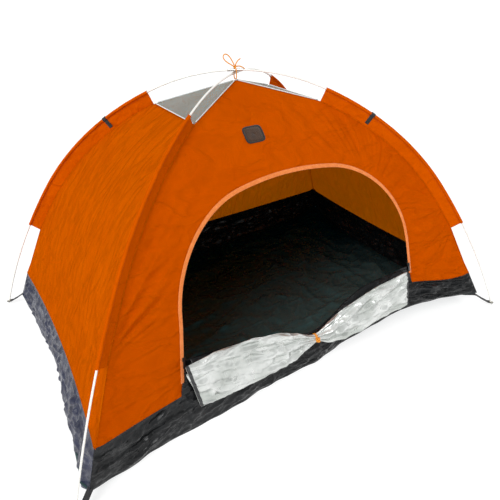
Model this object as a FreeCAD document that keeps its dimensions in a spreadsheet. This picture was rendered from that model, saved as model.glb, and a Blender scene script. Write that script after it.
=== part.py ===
import FreeCAD, Part
import math
import os

import Sketcher
from FreeCAD import Matrix, Placement, Rotation, Vector

# Two-pole dome tent, in millimetres. The origin is on the ground under the crown, +Z is up,
# X runs along the door side and the door faces -Y. Both poles cross at the crown, each in a
# vertical plane through a diagonal of the footprint, and the canopy hangs inside them.

SIZES = [
    ("pole_span_length", 2000, "pole tip to pole tip along the door side"),
    ("pole_span_width", 1332, "pole tip to pole tip from door side to back"),
    ("crown_height", 1099, "height of the poles' centreline at the crossing, halfway between them"),
    ("crown_radius", 827, "bend of a pole over the crown"),
    ("shoulder_radius", 1243, "bend of a pole at the shoulder"),
    ("leg_radius", 2950, "bend of a pole near the ground"),
    ("crown_turn", 21.64, "angle from the crown at which the crown bend ends"),
    ("shoulder_turn", 53.69, "angle from the crown at which the shoulder bend ends"),
    ("pole_diameter", 7, "fibreglass tube, outside"),
    ("pole_bore", 3.5, "fibreglass tube, inside"),
    ("segments_each_side", 3, "tube segments from the crown to one foot"),
    ("ferrule_diameter", 9, "metal ferrule, outside"),
    ("ferrule_length", 60, "metal ferrule"),
    ("shock_cord_diameter", 2.5, "elastic cord inside a pole"),
    ("sleeve_bore", 10.4, "inside of a pole sleeve"),
    ("sleeve_diameter", 12.8, "outside of a pole sleeve"),
    ("sleeve_fin", 46, "pole centreline to the canopy seam"),
    ("sleeve_start", 357, "upper end of a sleeve, along the pole from the crown"),
    ("sleeve_end", 1222, "lower end of a sleeve, along the pole from the crown"),
    ("loop_place", 570, "webbing loop, along the pole from the crown"),
    ("loop_width", 16, "webbing loop, along the pole"),
    ("apex_height", 1067, "top of the canopy, below the crossing"),
    ("vent_height", 984, "lower edge of the mesh vents"),
    ("leg_line_height", 426, "below this the canopy corners run straight"),
    ("tub_height", 185, "top of the ground sheet's raised edge"),
    ("tub_corner_out", 1050, "canopy corner at the tub's top, out from the centre"),
    ("ground_corner_out", 1112, "tub corner on the ground, out from the centre"),
    ("cloth", 2, "thickness that stands in for the canopy cloth"),
    ("tub_cloth", 3, "thickness that stands in for the tub cloth"),
    ("floor_thickness", 2, "thickness that stands in for the ground sheet"),
    ("seam_gap", 1.2, "clearance from a corner's middle plane"),
    ("door_sill", 227, "bottom of the doorway"),
    ("door_sill_half", 550, "half the doorway's width at its sill"),
    ("door_side_top", 475, "height at which the doorway's straight sides end"),
    ("door_side_half", 512, "half the doorway's width there"),
    ("door_shoulder_radius", 375, "bend of the doorway's shoulders"),
    ("door_top", 805, "top of the doorway"),
    ("tape_width", 12, "zip tape"),
    ("tape_thickness", 1, "zip tape"),
    ("tape_lift", 0.8, "gap between the canopy's outer face and the zip tape"),
    ("tape_overhang", 6, "zip tape beyond the canopy's edge, into the doorway"),
    ("slider_rest", 315, "height of both zip sliders"),
    ("slider_length", 16, "zip slider, along the zip"),
    ("slider_width", 12, "zip slider, across the zip"),
    ("pull_length", 34, "pull tab, from its pivot to its end"),
    ("flap_hinge_height", 320, "fold line of the door flap"),
    ("flap_hinge_out", 538, "fold line of the door flap, out from the centre"),
    ("flap_half", 515, "half the width of the tied door flap"),
    ("flap_out", 549, "ends of the hanging flap, out from the centre"),
    ("flap_bow", 28, "how much nearer the centre the flap's middle hangs than its ends"),
    ("tab_width", 22, "corner webbing tab"),
    ("tab_length", 84, "corner webbing tab, from the tub corner to the grommet"),
    ("tab_thickness", 1.6, "corner webbing tab"),
    ("tab_slope", 10, "fall of the corner tab towards the pole's foot, in degrees"),
    ("grommet_bore", 11.2, "hole of the corner grommet"),
    ("grommet_diameter", 17.6, "corner grommet"),
    ("tab_hole", 13.4, "hole in the corner tab"),
    ("badge_width", 78, "plain patch over the door"),
    ("badge_depth", 50, "plain patch over the door"),
    ("badge_thickness", 0.8, "plain patch over the door"),
    ("badge_height", 929, "plain patch over the door"),
    ("badge_aside", 70, "plain patch, to the left of the middle"),
    ("tie_cord", 4.2, "cord that ties the canopy to the crossing"),
    ("piping_diameter", 4, "piping around the vents"),
]

doc = FreeCAD.newDocument("dome_tent")
sheet = doc.addObject("Spreadsheet::Sheet", "sizes")
for line, (alias, value, meaning) in enumerate(SIZES, start=1):
    sheet.set(f"A{line}", meaning)
    sheet.set(f"B{line}", str(value))
    sheet.setAlias(f"B{line}", alias)
doc.recompute()

PIECES = []
UP = Vector(0, 0, 1)
ACROSS = Vector(0, 1, 0)
CLEAR = 0.3


def size(alias):
    return float(getattr(sheet, alias))


def add_piece(label, shape, placement=None):
    """A sub-part whose shape comes straight from geometry."""
    piece = doc.addObject("Part::Feature", label)
    piece.Label = label
    piece.Shape = shape
    if placement is not None:
        piece.Placement = placement
    PIECES.append(piece)
    return piece


def joined(shapes):
    """One solid from solids that touch or cross."""
    whole = shapes[0]
    for shape in shapes[1:]:
        whole = whole.fuse(shape)
    return whole.Solids[0] if len(whole.Solids) == 1 else whole


# ---------------------------------------------------------------- plan and directions

HALF_LENGTH = size("pole_span_length") / 2
HALF_WIDTH = size("pole_span_width") / 2
HALF_DIAGONAL = math.hypot(HALF_LENGTH, HALF_WIDTH)
DIAGONAL_TURN = math.degrees(math.atan2(HALF_WIDTH, HALF_LENGTH))

# Each corner: the turn of its diagonal about Z, and which pole stands in it.
CORNERS = {
    "back_right": (DIAGONAL_TURN, "a"),
    "front_left": (180 + DIAGONAL_TURN, "a"),
    "front_right": (-DIAGONAL_TURN, "b"),
    "back_left": (180 - DIAGONAL_TURN, "b"),
}
# Pole b crosses over pole a, so each is off the mean crown height by half the spacing.
CROSSING_GAP = size("ferrule_diameter") + CLEAR
LIFT = {"a": -CROSSING_GAP / 2, "b": CROSSING_GAP / 2}
# Only the sleeves of the upper pole carry a webbing loop.
LOOPED_POLE = "b"
TIP_HEIGHT = size("pole_diameter") / 2 + 0.1


def turned(angle):
    return Placement(Vector(), Rotation(UP, angle))


# ---------------------------------------------------------------- the bow of a pole


def bow(lift):
    """The three arcs of half a pole: (centre out, centre up, radius, start and end angle)."""
    radii = [size("crown_radius"), size("shoulder_radius"), size("leg_radius")]
    turns = [0, math.radians(size("crown_turn")), math.radians(size("shoulder_turn"))]
    out, up = 0, size("crown_height") + lift - radii[0]
    arcs = []
    for i, radius in enumerate(radii):
        if i:
            out += (radii[i - 1] - radius) * math.sin(turns[i])
            up += (radii[i - 1] - radius) * math.cos(turns[i])
        end = turns[i + 1] if i < 2 else math.acos((TIP_HEIGHT - up) / radius)
        arcs.append((out, up, radius, turns[i], end))
    return arcs


def bow_length(lift):
    return sum(radius * (end - start) for _, _, radius, start, end in bow(lift))


def bow_point(along, lift):
    """Place and angle of the centreline at a distance from the crown, in the pole's plane."""
    for out, up, radius, start, end in bow(lift):
        span = radius * (end - start)
        if along <= span + 1e-9:
            angle = start + along / radius
            return out + radius * math.sin(angle), up + radius * math.cos(angle), angle
        along -= span
    raise ValueError("beyond the pole's foot")


def bent(section, begin, finish, lift):
    """A section carried along the bow. It is drawn about the origin, Z pointing out of the bend."""
    parts = []
    passed = 0
    for out, up, radius, start, end in bow(lift):
        span = radius * (end - start)
        first = max(begin, passed)
        last = min(finish, passed + span)
        if last - first > 1e-6:
            angle = start + (first - passed) / radius
            face = section.copy()
            face.rotate(Vector(), ACROSS, math.degrees(angle))
            face.translate(Vector(out + radius * math.sin(angle), 0, up + radius * math.cos(angle)))
            turn = math.degrees((last - first) / radius)
            parts.append(face.revolve(Vector(out, 0, up), ACROSS, turn))
        passed += span
    return joined(parts)


def disc(diameter):
    circle = Part.makeCircle(diameter / 2, Vector(), Vector(1, 0, 0))
    return Part.Face(Part.Wire(circle))


def ring(outside, inside):
    return disc(outside).cut(disc(inside)).Faces[0]


def strip(half_thickness, low, high, middle=0):
    """A rectangle of a section: across the pole's plane by Y, from low to high by Z."""
    y0, y1 = middle - half_thickness, middle + half_thickness
    corners = [Vector(0, y0, low), Vector(0, y1, low), Vector(0, y1, high), Vector(0, y0, high)]
    return Part.Face(Part.makePolygon(corners + corners[:1]))


def across_crown(section, half, lift, turn):
    """A section carried over the crown, the same distance down both sides."""
    one = bent(section, 0, half, lift)
    other = one.copy()
    one.rotate(Vector(), UP, turn)
    other.rotate(Vector(), UP, turn + 180)
    return joined([one, other])


# ---------------------------------------------------------------- poles


def make_poles():
    tube = ring(size("pole_diameter"), size("pole_bore"))
    count = int(size("segments_each_side"))
    numbers = {"front_left": [3, 2, 1], "back_right": [4, 5, 6]}
    numbers.update({"back_left": [3, 2, 1], "front_right": [4, 5, 6]})
    for corner, (turn, pole) in CORNERS.items():
        lift = LIFT[pole]
        step = bow_length(lift) / count
        for i in range(count):
            segment = bent(tube, i * step + CLEAR / 2, (i + 1) * step - CLEAR / 2, lift)
            add_piece(f"pole_{pole}_segment_{numbers[corner][i]}", segment, turned(turn))


def make_ferrules():
    section = ring(size("ferrule_diameter"), size("pole_diameter") + 0.2)
    half = size("ferrule_length") / 2
    count = int(size("segments_each_side"))
    for pole, lift in LIFT.items():
        step = bow_length(lift) / count
        turns = [turn for turn, owner in CORNERS.values() if owner == pole]
        ferrules = [across_crown(section, half, lift, turns[0])]
        for turn in turns:
            for joint in range(1, count):
                ferrule = bent(section, joint * step - half, joint * step + half, lift)
                ferrule.rotate(Vector(), UP, turn)
                ferrules.append(ferrule)
        add_piece(f"pole_{pole}_ferrules", Part.makeCompound(ferrules))


def make_shock_cords():
    plug = 20
    for pole, lift in LIFT.items():
        turn = next(turn for turn, owner in CORNERS.values() if owner == pole)
        half = bow_length(lift) - plug
        cord = across_crown(disc(size("shock_cord_diameter")), half, lift, turn)
        add_piece(f"pole_{pole}_shock_cord", cord)


def make_end_tips():
    """A rounded plug in each pole's foot."""
    tips = []
    for turn, pole in CORNERS.values():
        lift = LIFT[pole]
        out, up, angle = bow_point(bow_length(lift), lift)
        dome = Part.makeSphere(size("pole_diameter") / 2)
        keep = Part.makeBox(10, 10, 10, Vector(0, -5, -5))
        stem = Part.makeCylinder(size("pole_bore") / 2 - 0.1, 14, Vector(-14, 0, 0), Vector(1, 0, 0))
        tip = joined([dome.common(keep), stem])
        tip.rotate(Vector(), ACROSS, math.degrees(angle))
        tip.translate(Vector(out, 0, up))
        tip.rotate(Vector(), UP, turn)
        tips.append(tip)
    add_piece("pole_end_tips", Part.makeCompound(tips))


# ---------------------------------------------------------------- sleeves and their loops


def make_sleeves():
    """A tube for the pole with a fin of cloth that is sewn into the canopy's corner."""
    outside = size("sleeve_diameter")
    fin = strip(0.8, -size("sleeve_fin") - 6, -size("sleeve_bore") / 2 - 0.6)
    section = disc(outside).fuse(fin).removeSplitter().cut(disc(size("sleeve_bore"))).Faces[0]
    for corner, (turn, pole) in CORNERS.items():
        sleeve = bent(section, size("sleeve_start"), size("sleeve_end"), LIFT[pole])
        add_piece(f"sleeve_{corner}", sleeve, turned(turn))


def make_loops():
    """A band of webbing round both sleeves of one pole, down both sides of the fin."""
    inside = size("sleeve_diameter") + 2 * CLEAR
    band = ring(inside + 2.4, inside)
    low = -size("sleeve_fin") + 4
    sides = [strip(0.6, low, -inside / 2 - 0.3, side * (0.8 + CLEAR + 0.6)) for side in (-1, 1)]
    gap = strip(0.8 + CLEAR, low, 0)
    section = band.cut(gap)
    begin = size("loop_place") - size("loop_width") / 2
    loops = []
    for turn, pole in CORNERS.values():
        if pole != LOOPED_POLE:
            continue
        pieces = [bent(face, begin, begin + size("loop_width"), LIFT[pole])
                  for face in section.Faces + sides]
        loop = joined(pieces)
        loop.rotate(Vector(), UP, turn)
        loops.extend(loop.Solids)
    add_piece("sleeve_loops", Part.makeCompound(loops))


# ---------------------------------------------------------------- canopy surfaces


def seam_out(height):
    """How far out from the centre the canopy's corner seam is at a height."""
    vent = size("vent_height")
    if height > vent:
        return seam_out(vent) * (size("apex_height") - height) / (size("apex_height") - vent)
    leg = size("leg_line_height")
    if height < leg:
        foot = size("tub_corner_out")
        return foot + (height - size("tub_height")) * (seam_out(leg) - foot) / (leg - size("tub_height"))
    for out, up, radius, start, end in bow(0):
        inner = radius - size("sleeve_fin")
        angle = math.acos(min(1, (height - up) / inner))
        if angle <= end:
            return out + inner * math.sin(angle)
    raise ValueError("below the pole's foot")


# How far each wall's middle is pulled in from a straight line between its corners:
# at the tub's top, where the corners straighten, and on the ground.
PULL = {"front": (88, 36, 131), "back": (15, 10, 20), "left": (26, 12, 35), "right": (26, 12, 35)}


def pulled_in(side, height):
    low, mid, _ = PULL[side]
    tub, leg, vent = size("tub_height"), size("leg_line_height"), size("vent_height")
    slope = (low - mid) / (leg - tub)
    if height <= leg:
        return mid + slope * (leg - height)
    share = max(0, (vent - height) / (vent - leg))
    return mid * share ** (slope * (vent - leg) / mid)


# Each wall: the direction that it faces, and its half length and distance at the poles' feet.
WALLS = {
    "front": (Vector(0, -1, 0), HALF_LENGTH, HALF_WIDTH),
    "back": (Vector(0, 1, 0), HALF_LENGTH, HALF_WIDTH),
    "left": (Vector(-1, 0, 0), HALF_WIDTH, HALF_LENGTH),
    "right": (Vector(1, 0, 0), HALF_WIDTH, HALF_LENGTH),
}


def wall_point(side, share, height):
    """A point of a wall's outer face. share runs from -1 at one corner seam to 1 at the other."""
    facing, along, away = WALLS[side]
    reach = seam_out(height) / HALF_DIAGONAL
    run = UP.cross(facing)
    out = away * reach - pulled_in(side, height) * (1 - share * share)
    return run * (share * along * reach) + facing * out + UP * height


def front_point(x, height):
    """The point of the front wall's outer face at an x and a height."""
    reach = HALF_LENGTH * seam_out(height) / HALF_DIAGONAL
    return wall_point("front", x / reach, height)


def inward(side, depth):
    """A step into the cloth, slanted so that it suits steep and flat stretches alike."""
    return WALLS[side][0] * (-0.8 * depth) - UP * (0.6 * depth)


def wall_surface(side, low, high):
    rows = []
    steps = 14
    for i in range(steps + 1):
        height = low + (high - low) * i / steps
        rows.append([wall_point(side, share / 8 * 1.05, height) for share in range(-8, 9)])
    surface = Part.BSplineSurface()
    surface.interpolate(rows)
    return surface.toShape()


def wedge(side):
    """Everything that faces one side, between the middle planes of its two corners."""
    facing, along, away = WALLS[side]
    run = UP.cross(facing)
    far = 3
    tip = facing * (size("seam_gap") * HALF_DIAGONAL / along)
    left = tip + (facing * away + run * along) * far
    right = tip + (facing * away - run * along) * far
    plan = Part.Face(Part.makePolygon([tip, left, right, tip]))
    plan.translate(UP * -20)
    return plan.extrude(UP * 1300)


def roof_plate(side, depth, low):
    """The flat triangle of the roof from the vents' lower edge to the apex."""
    facing, along, away = WALLS[side]
    run = UP.cross(facing)
    reach = seam_out(size("vent_height")) / HALF_DIAGONAL
    rise = size("apex_height") - size("vent_height")
    apex = UP * size("apex_height")
    wide = 1.3
    start = facing * (away * reach * (1 - low)) + UP * (size("vent_height") + low * rise)
    left, right = start + run * (along * reach * wide), start - run * (along * reach * wide)
    top_left, top_right = apex + run * (along * reach * wide), apex - run * (along * reach * wide)
    face = Part.Face(Part.makePolygon([left, right, top_right, top_left, left]))
    return face.extrude(depth).common(wedge(side))


def door_outline(grow):
    """The doorway seen from the front: straight sides, two shoulders and a long top arc."""
    foot = Vector(size("door_sill_half"), 0, size("door_sill"))
    knee = Vector(size("door_side_half"), 0, size("door_side_top"))
    side = (knee - foot).normalize()
    inner = Vector(-side.z, 0, side.x)
    shoulder = size("door_shoulder_radius")
    centre = knee + inner * shoulder
    above = size("door_top") - centre.z
    top_radius = (centre.x ** 2 + above ** 2 - shoulder ** 2) / (2 * (above - shoulder))
    top_centre = Vector(0, 0, size("door_top") - top_radius)
    to_shoulder = (centre - top_centre).normalize()
    join = top_centre + to_shoulder * (top_radius + grow)
    knee_out = knee - inner * grow
    foot_out = foot - inner * grow
    foot_out = foot_out + side * ((size("door_sill") - grow - foot_out.z) / side.z)
    bend = (knee_out - centre).normalize() + to_shoulder
    middle = centre + bend.normalize() * (shoulder + grow)
    crown = Vector(0, 0, size("door_top") + grow)

    def flip(point):
        return Vector(-point.x, point.y, point.z)

    edges = [
        Part.makeLine(foot_out, knee_out),
        Part.Arc(knee_out, middle, join).toShape(),
        Part.Arc(join, crown, flip(join)).toShape(),
        Part.Arc(flip(join), flip(middle), flip(knee_out)).toShape(),
        Part.makeLine(flip(knee_out), flip(foot_out)),
        Part.makeLine(flip(foot_out), foot_out),
    ]
    return Part.Face(Part.Wire(edges))


def door_prism(grow):
    """The doorway's outline run through the front wall."""
    face = door_outline(grow)
    face.translate(Vector(0, -900, 0))
    return face.extrude(Vector(0, 800, 0))


def cloth_slab(side, low, high, lift, thickness):
    """Cloth along a wall: its outer face lies lift outside the wall's own."""
    face = wall_surface(side, low, high)
    face.translate(inward(side, -lift))
    return face.extrude(inward(side, thickness))


def make_canopy():
    low, high = size("tub_height") + 2, size("vent_height")
    depth = size("cloth")
    for side in WALLS:
        slab = cloth_slab(side, low, high, 0, depth).common(wedge(side))
        if side in ("front", "back"):
            slab = joined([slab, roof_plate(side, inward(side, depth), 0)])
        if side == "front":
            slab = slab.cut(door_prism(0))
        add_piece(f"canopy_{side}", joined(slab.Solids))
    for side in ("left", "right"):
        add_piece(f"vent_mesh_{side}", roof_plate(side, UP * -1.5, 0.02).Solids[0])


def make_piping():
    """Round piping over the vents' three seams on each side."""
    radius = size("piping_diameter") / 2
    raise_by = UP * (radius + CLEAR)
    vent = seam_out(size("vent_height")) / HALF_DIAGONAL
    apex = UP * size("apex_height")
    for side in ("left", "right"):
        facing, along, away = WALLS[side]
        run = UP.cross(facing)
        base = facing * (away * vent) + UP * size("vent_height") + raise_by
        reach = along * vent - 8
        rods = [Part.makeCylinder(radius, 2 * reach, base - run * reach, run)]
        for way in (-1, 1):
            corner = facing * (away * vent) + run * (way * along * vent) + UP * size("vent_height")
            slope = apex - corner
            start = corner + slope * 0.04 + raise_by
            rods.append(Part.makeCylinder(radius, slope.Length * 0.93, start, slope))
        add_piece(f"vent_piping_{side}", Part.makeCompound(rods))


# ---------------------------------------------------------------- tub and floor


def ground_arc(side, inset, height):
    """A wall's line on the ground from corner to corner, bowed in, as one arc."""
    facing, along, away = WALLS[side]
    run = UP.cross(facing)
    full = size("ground_corner_out") / HALF_DIAGONAL
    reach = full - 2 * inset / HALF_DIAGONAL
    corner = facing * (away * reach) + UP * height
    middle = facing * (away * full - PULL[side][2] - inset) + UP * height
    return Part.Arc(corner - run * (along * reach), middle, corner + run * (along * reach))


def make_tub():
    """The ground sheet's raised edge: four strips between the ground and the canopy."""
    for side in WALLS:
        top = Part.Arc(*[wall_point(side, share, size("tub_height")) for share in (-1, 0, 1)])
        bottom = ground_arc(side, 0, 0)
        face = Part.makeRuledSurface(bottom.toShape(), top.toShape())
        slab = face.extrude(WALLS[side][0] * -size("tub_cloth"))
        add_piece(f"tub_wall_{side}", slab.common(wedge(side)).Solids[0])


def make_floor():
    """The ground sheet, inside the foot of the tub's four strips."""
    body = doc.addObject("PartDesign::Body", "floor_sheet")
    sketch = new_sketch(body, "XY_Plane")
    for side in ("front", "right", "back", "left"):
        sketch.addGeometry(ground_arc(side, size("tub_cloth") + 3, 0), False)
    pad(body, sketch, "floor_thickness")
    PIECES.append(body)


# ---------------------------------------------------------------- sketched pieces


def new_sketch(body, role):
    sketch = body.newObject("Sketcher::SketchObject", body.Name + "_sketch")
    plane = next(item for item in body.Origin.OriginFeatures if item.Role == role)
    sketch.AttachmentSupport = [(plane, "")]
    sketch.MapMode = "FlatFace"
    return sketch


def pad(body, sketch, alias):
    feature = body.newObject("PartDesign::Pad", body.Name + "_pad")
    feature.Profile = sketch
    feature.setExpression("Length", f"sizes.{alias}")
    body.Tip = feature
    return feature


def tab_placement(corner):
    """The corner tab's own frame: X out along the fall of the tab, the grommet at its origin."""
    turn, pole = CORNERS[corner]
    foot_out, foot_up, angle = bow_point(bow_length(LIFT[pole]), LIFT[pole])
    up = 14
    out = foot_out - (up - foot_up) / math.tan(angle)
    tilt = Placement(Vector(out, 0, up), Rotation(ACROSS, size("tab_slope")))
    return turned(turn).multiply(tilt)


def make_tabs():
    """Webbing from each tub corner to a pole's foot, with a round end and a hole."""
    for corner in CORNERS:
        body = doc.addObject("PartDesign::Body", f"corner_tab_{corner}")
        sketch = new_sketch(body, "XY_Plane")
        half = size("tab_width") / 2
        back = -size("tab_length")
        sketch.addGeometry(Part.LineSegment(Vector(0, half, 0), Vector(back, half, 0)), False)
        sketch.addGeometry(Part.LineSegment(Vector(back, half, 0), Vector(back, -half, 0)), False)
        sketch.addGeometry(Part.LineSegment(Vector(back, -half, 0), Vector(0, -half, 0)), False)
        nose = Part.Arc(Vector(0, -half, 0), Vector(half, 0, 0), Vector(0, half, 0))
        sketch.addGeometry(nose, False)
        hole = sketch.addGeometry(Part.Circle(Vector(), UP, size("tab_hole") / 2), False)
        sketch.addConstraint(Sketcher.Constraint("Radius", hole, size("tab_hole") / 2))
        sketch.setExpression("Constraints[0]", "sizes.tab_hole / 2")
        pad(body, sketch, "tab_thickness")
        body.Placement = tab_placement(corner)
        PIECES.append(body)


def make_grommets():
    """A metal eyelet in each tab: a barrel with a flange on both faces."""
    bore, flange = size("grommet_bore") / 2, size("grommet_diameter") / 2
    barrel = size("tab_hole") / 2 - CLEAR
    low, high = -CLEAR, size("tab_thickness") + CLEAR
    plate = 0.8
    outline = [(bore, low - plate), (flange, low - plate), (flange, low), (barrel, low)]
    outline += [(barrel, high), (flange, high), (flange, high + plate), (bore, high + plate)]
    for corner in CORNERS:
        body = doc.addObject("PartDesign::Body", f"grommet_{corner}")
        sketch = new_sketch(body, "XZ_Plane")
        for start, end in zip(outline, outline[1:] + outline[:1]):
            sketch.addGeometry(Part.LineSegment(Vector(*start, 0), Vector(*end, 0)), False)
        feature = body.newObject("PartDesign::Revolution", body.Name + "_turn")
        feature.Profile = sketch
        feature.ReferenceAxis = (sketch, ["V_Axis"])
        feature.Angle = 360
        body.Tip = feature
        body.Placement = tab_placement(corner)
        PIECES.append(body)


def make_badge():
    """A plain oblong patch with round corners, sewn on above the door."""
    body = doc.addObject("PartDesign::Body", "badge_patch")
    sketch = new_sketch(body, "XY_Plane")
    wide, deep, corner = size("badge_width") / 2, size("badge_depth") / 2, 12
    nip = corner * (1 - math.sqrt(0.5))
    for quarter in range(4):
        across = Vector(1, 0, 0) if quarter % 2 == 0 else Vector(0, 1, 0)
        sign = 1 if quarter < 2 else -1
        far, side = (wide, deep) if quarter % 2 == 0 else (deep, wide)
        turn = across * sign
        left = Vector(-turn.y, turn.x, 0)
        start = turn * far + left * (side - corner)
        sketch.addGeometry(Part.LineSegment(turn * far - left * (side - corner), start), False)
        middle = turn * (far - nip) + left * (side - nip)
        end = turn * (far - corner) + left * side
        sketch.addGeometry(Part.Arc(start, middle, end), False)
    pad(body, sketch, "badge_thickness")
    place, _, rise, normal = front_frame(-size("badge_aside"), size("badge_height"), 40)
    body.Placement = frame_at(place + normal * 1.2, rise.cross(normal), rise, normal)
    PIECES.append(body)


# ---------------------------------------------------------------- zip, sliders and pulls


def frame_at(origin, x_axis, y_axis, z_axis):
    rows = []
    for component in ("x", "y", "z"):
        rows += [getattr(axis, component) for axis in (x_axis, y_axis, z_axis, origin)]
    return Placement(Matrix(*rows, 0, 0, 0, 1))


def front_frame(x, height, step, lean=0):
    """A point of the front wall with its directions: along X, up the wall, and outward."""
    below = front_point(x - lean * step, height - step)
    above = front_point(x + lean * step, height + step)
    rise = (above - below).normalize()
    beside = front_point(x + 5, height) - front_point(x - 5, height)
    normal = beside.cross(rise).normalize()
    return front_point(x, height), normal.cross(rise) * -1, rise, normal


def zip_frame(hand):
    """The frame of a zip slider: X away from the tent's left, Y up the zip, Z outward."""
    drop = size("door_side_top") - size("door_sill")
    lean = (size("door_side_half") - size("door_sill_half")) / drop
    height = size("slider_rest")
    edge = size("door_sill_half") + lean * (height - size("door_sill")) - size("tape_overhang")
    place, across, rise, normal = front_frame(hand * edge, height, 80, hand * lean)
    middle = place + inward("front", -(size("tape_lift") + size("tape_thickness") / 2))
    return frame_at(middle, rise.cross(normal), rise, normal)


def make_zip_tape():
    """The tape sewn round the doorway, standing over its edge all the way."""
    low, high = size("tub_height") + 1, size("door_top") + 60
    thickness = size("tape_thickness")
    slab = cloth_slab("front", low, high, size("tape_lift") + thickness, thickness)
    rim = door_prism(size("tape_width") - size("tape_overhang"))
    tape = slab.common(rim).cut(door_prism(-size("tape_overhang")))
    sill_gap = Part.makeBox(4000, 800, size("door_sill") + 1, Vector(-2000, -900, 0))
    add_piece("door_zip_tape", joined(tape.cut(sill_gap).Solids))


def box_piece(name, length, width, height, corner):
    """A Part box whose three sides may be expressions on the sheet."""
    box = doc.addObject("Part::Box", name)
    for side, value in zip(("Length", "Width", "Height"), (length, width, height)):
        if isinstance(value, str):
            box.setExpression(side, value)
        else:
            setattr(box, side, value)
    box.Placement = Placement(corner, Rotation())
    return box


def make_sliders():
    """Two plates and a bridge round the tape's edge, with a crown for the pull on top."""
    wide, tall = size("slider_width"), size("slider_length")
    gap, plate = size("tape_thickness") / 2 + 0.7, 1.5
    top = gap + plate
    for label, hand in (("left", 1), ("right", -1)):
        # The doorway is on the +X side of the left zip and on the -X side of the right one.
        low = -wide / 2
        under = low + 2 if hand == 1 else low
        bridge = 1 if hand == 1 else -wide / 2
        tall_text = "sizes.slider_length"
        name = f"slider_{label}"
        bars = [
            box_piece(f"{name}_top", "sizes.slider_width", tall_text, plate, Vector(low, -tall / 2, gap)),
            box_piece(f"{name}_under", "sizes.slider_width - 2", tall_text, plate,
                      Vector(under, -tall / 2, -top)),
            box_piece(f"{name}_bridge", "sizes.slider_width / 2 - 1", 6, 2 * top,
                      Vector(bridge, 0, -top)),
            box_piece(f"{name}_post_low", 2.4, 1.5, 4.4, Vector(-1.2, -5.75, top - 0.5)),
            box_piece(f"{name}_post_high", 2.4, 1.5, 4.4, Vector(-1.2, 4.25, top - 0.5)),
            box_piece(f"{name}_crown", 2.4, 11.5, 1.4, Vector(-1.2, -5.75, top + 2.9)),
        ]
        slider = doc.addObject("Part::MultiFuse", f"zip_slider_{label}")
        slider.Shapes = bars
        slider.Placement = zip_frame(-hand)
        PIECES.append(slider)


PIVOT_OUT = 4.2


def make_pulls():
    """A tab hanging from a cross bar under the slider's crown."""
    plate, wide, clear_of = 1.4, 8, 8
    long = size("pull_length")
    for label, hand in (("left", 1), ("right", -1)):
        bar = Part.makeCylinder(0.8, wide - 1, Vector(-(wide - 1) / 2, 0, 0), Vector(1, 0, 0))
        arms = [Part.makeBox(1.4, clear_of + 2, plate, Vector(x, -clear_of - 2, -plate / 2))
                for x in (-3.7, 2.3)]
        blade = Part.makeBox(wide, long - clear_of, plate, Vector(-wide / 2, -long, -plate / 2))
        hole = Part.makeCylinder(1.6, 4, Vector(0, -long + 5, -2), UP)
        shape = joined([bar] + arms + [blade]).cut(hole)
        rounded = [edge for edge in shape.Edges
                   if edge.BoundBox.ZLength > 1.3 and edge.BoundBox.YMax < -long + 0.1]
        shape = shape.makeFillet(2.5, rounded)
        place = zip_frame(-hand).multiply(Placement(Vector(0, 0, PIVOT_OUT), Rotation()))
        add_piece(f"zip_pull_{label}", shape, place)


# ---------------------------------------------------------------- door flap


def make_door_apron():
    """The low corners of the door that stay zipped, rising from the sill to both sliders."""
    slab = cloth_slab("front", size("tub_height") + 1, 500, 0, size("cloth"))
    gap = size("tape_overhang") + size("slider_width") / 2 + 2
    keep = door_prism(-gap)
    corners = []
    for hand in (-1, 1):
        sill = size("door_sill") + 10
        points = [Vector(hand * 560, -900, sill), Vector(hand * 60, -900, sill)]
        points += [Vector(hand * 500, -900, size("slider_rest") - 8)]
        points += [Vector(hand * 560, -900, size("slider_rest") - 8)]
        prism = Part.Face(Part.makePolygon(points + points[:1])).extrude(Vector(0, 800, 0))
        corners += slab.common(keep).common(prism).Solids
    add_piece("door_apron", Part.makeCompound(corners))


# The tied flap: place along X as a share of its half width, middle height, half height and
# half thickness. It is full along both lobes, which hang lowest near their middles, and it is
# gathered to a neck a little right of the centre.
FLAP_SECTIONS = [
    (-1.00, 212, 104, 9),
    (-0.80, 200, 116, 14),
    (-0.55, 188, 110, 15),
    (-0.30, 168, 92, 16),
    (-0.12, 157, 56, 16),
    (0.03, 150, 15, 12),
    (0.07, 150, 15, 12),
    (0.16, 150, 46, 16),
    (0.32, 160, 82, 16),
    (0.65, 194, 94, 15),
    (0.97, 222, 92, 9),
]


def flap_distance(share):
    return size("flap_out") - size("flap_bow") * (1 - share * share)


def make_door_flap():
    """The unzipped door, folded out over the sill and tied in the middle."""
    rings = []
    for share, middle, tall, thick in FLAP_SECTIONS:
        place = Vector(share * size("flap_half"), -flap_distance(share), middle)
        oval = Part.Ellipse(place + UP * tall, place + Vector(0, thick, 0), place)
        rings.append(Part.Wire(oval.toShape()))
    add_piece("door_flap", Part.makeLoft(rings, True, True))


def make_flap_tie():
    """A cord ring round the neck of the flap."""
    neck = FLAP_SECTIONS[5]
    share = 0.05
    place = Vector(share * size("flap_half"), -flap_distance(share), neck[1])
    outer = Part.Wire(Part.Ellipse(Vector(0, 20, 0), Vector(-17, 0, 0), Vector()).toShape())
    inner = Part.Wire(Part.Ellipse(Vector(0, 16, 0), Vector(-13, 0, 0), Vector()).toShape())
    band = Part.Face(outer).cut(Part.Face(inner)).Faces[0].extrude(UP * 4)
    band.translate(UP * -2)
    stand = frame_at(place, Vector(0, 1, 0), UP, Vector(1, 0, 0))
    add_piece("door_flap_tie", band, stand)


# ---------------------------------------------------------------- tie at the crown


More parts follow.
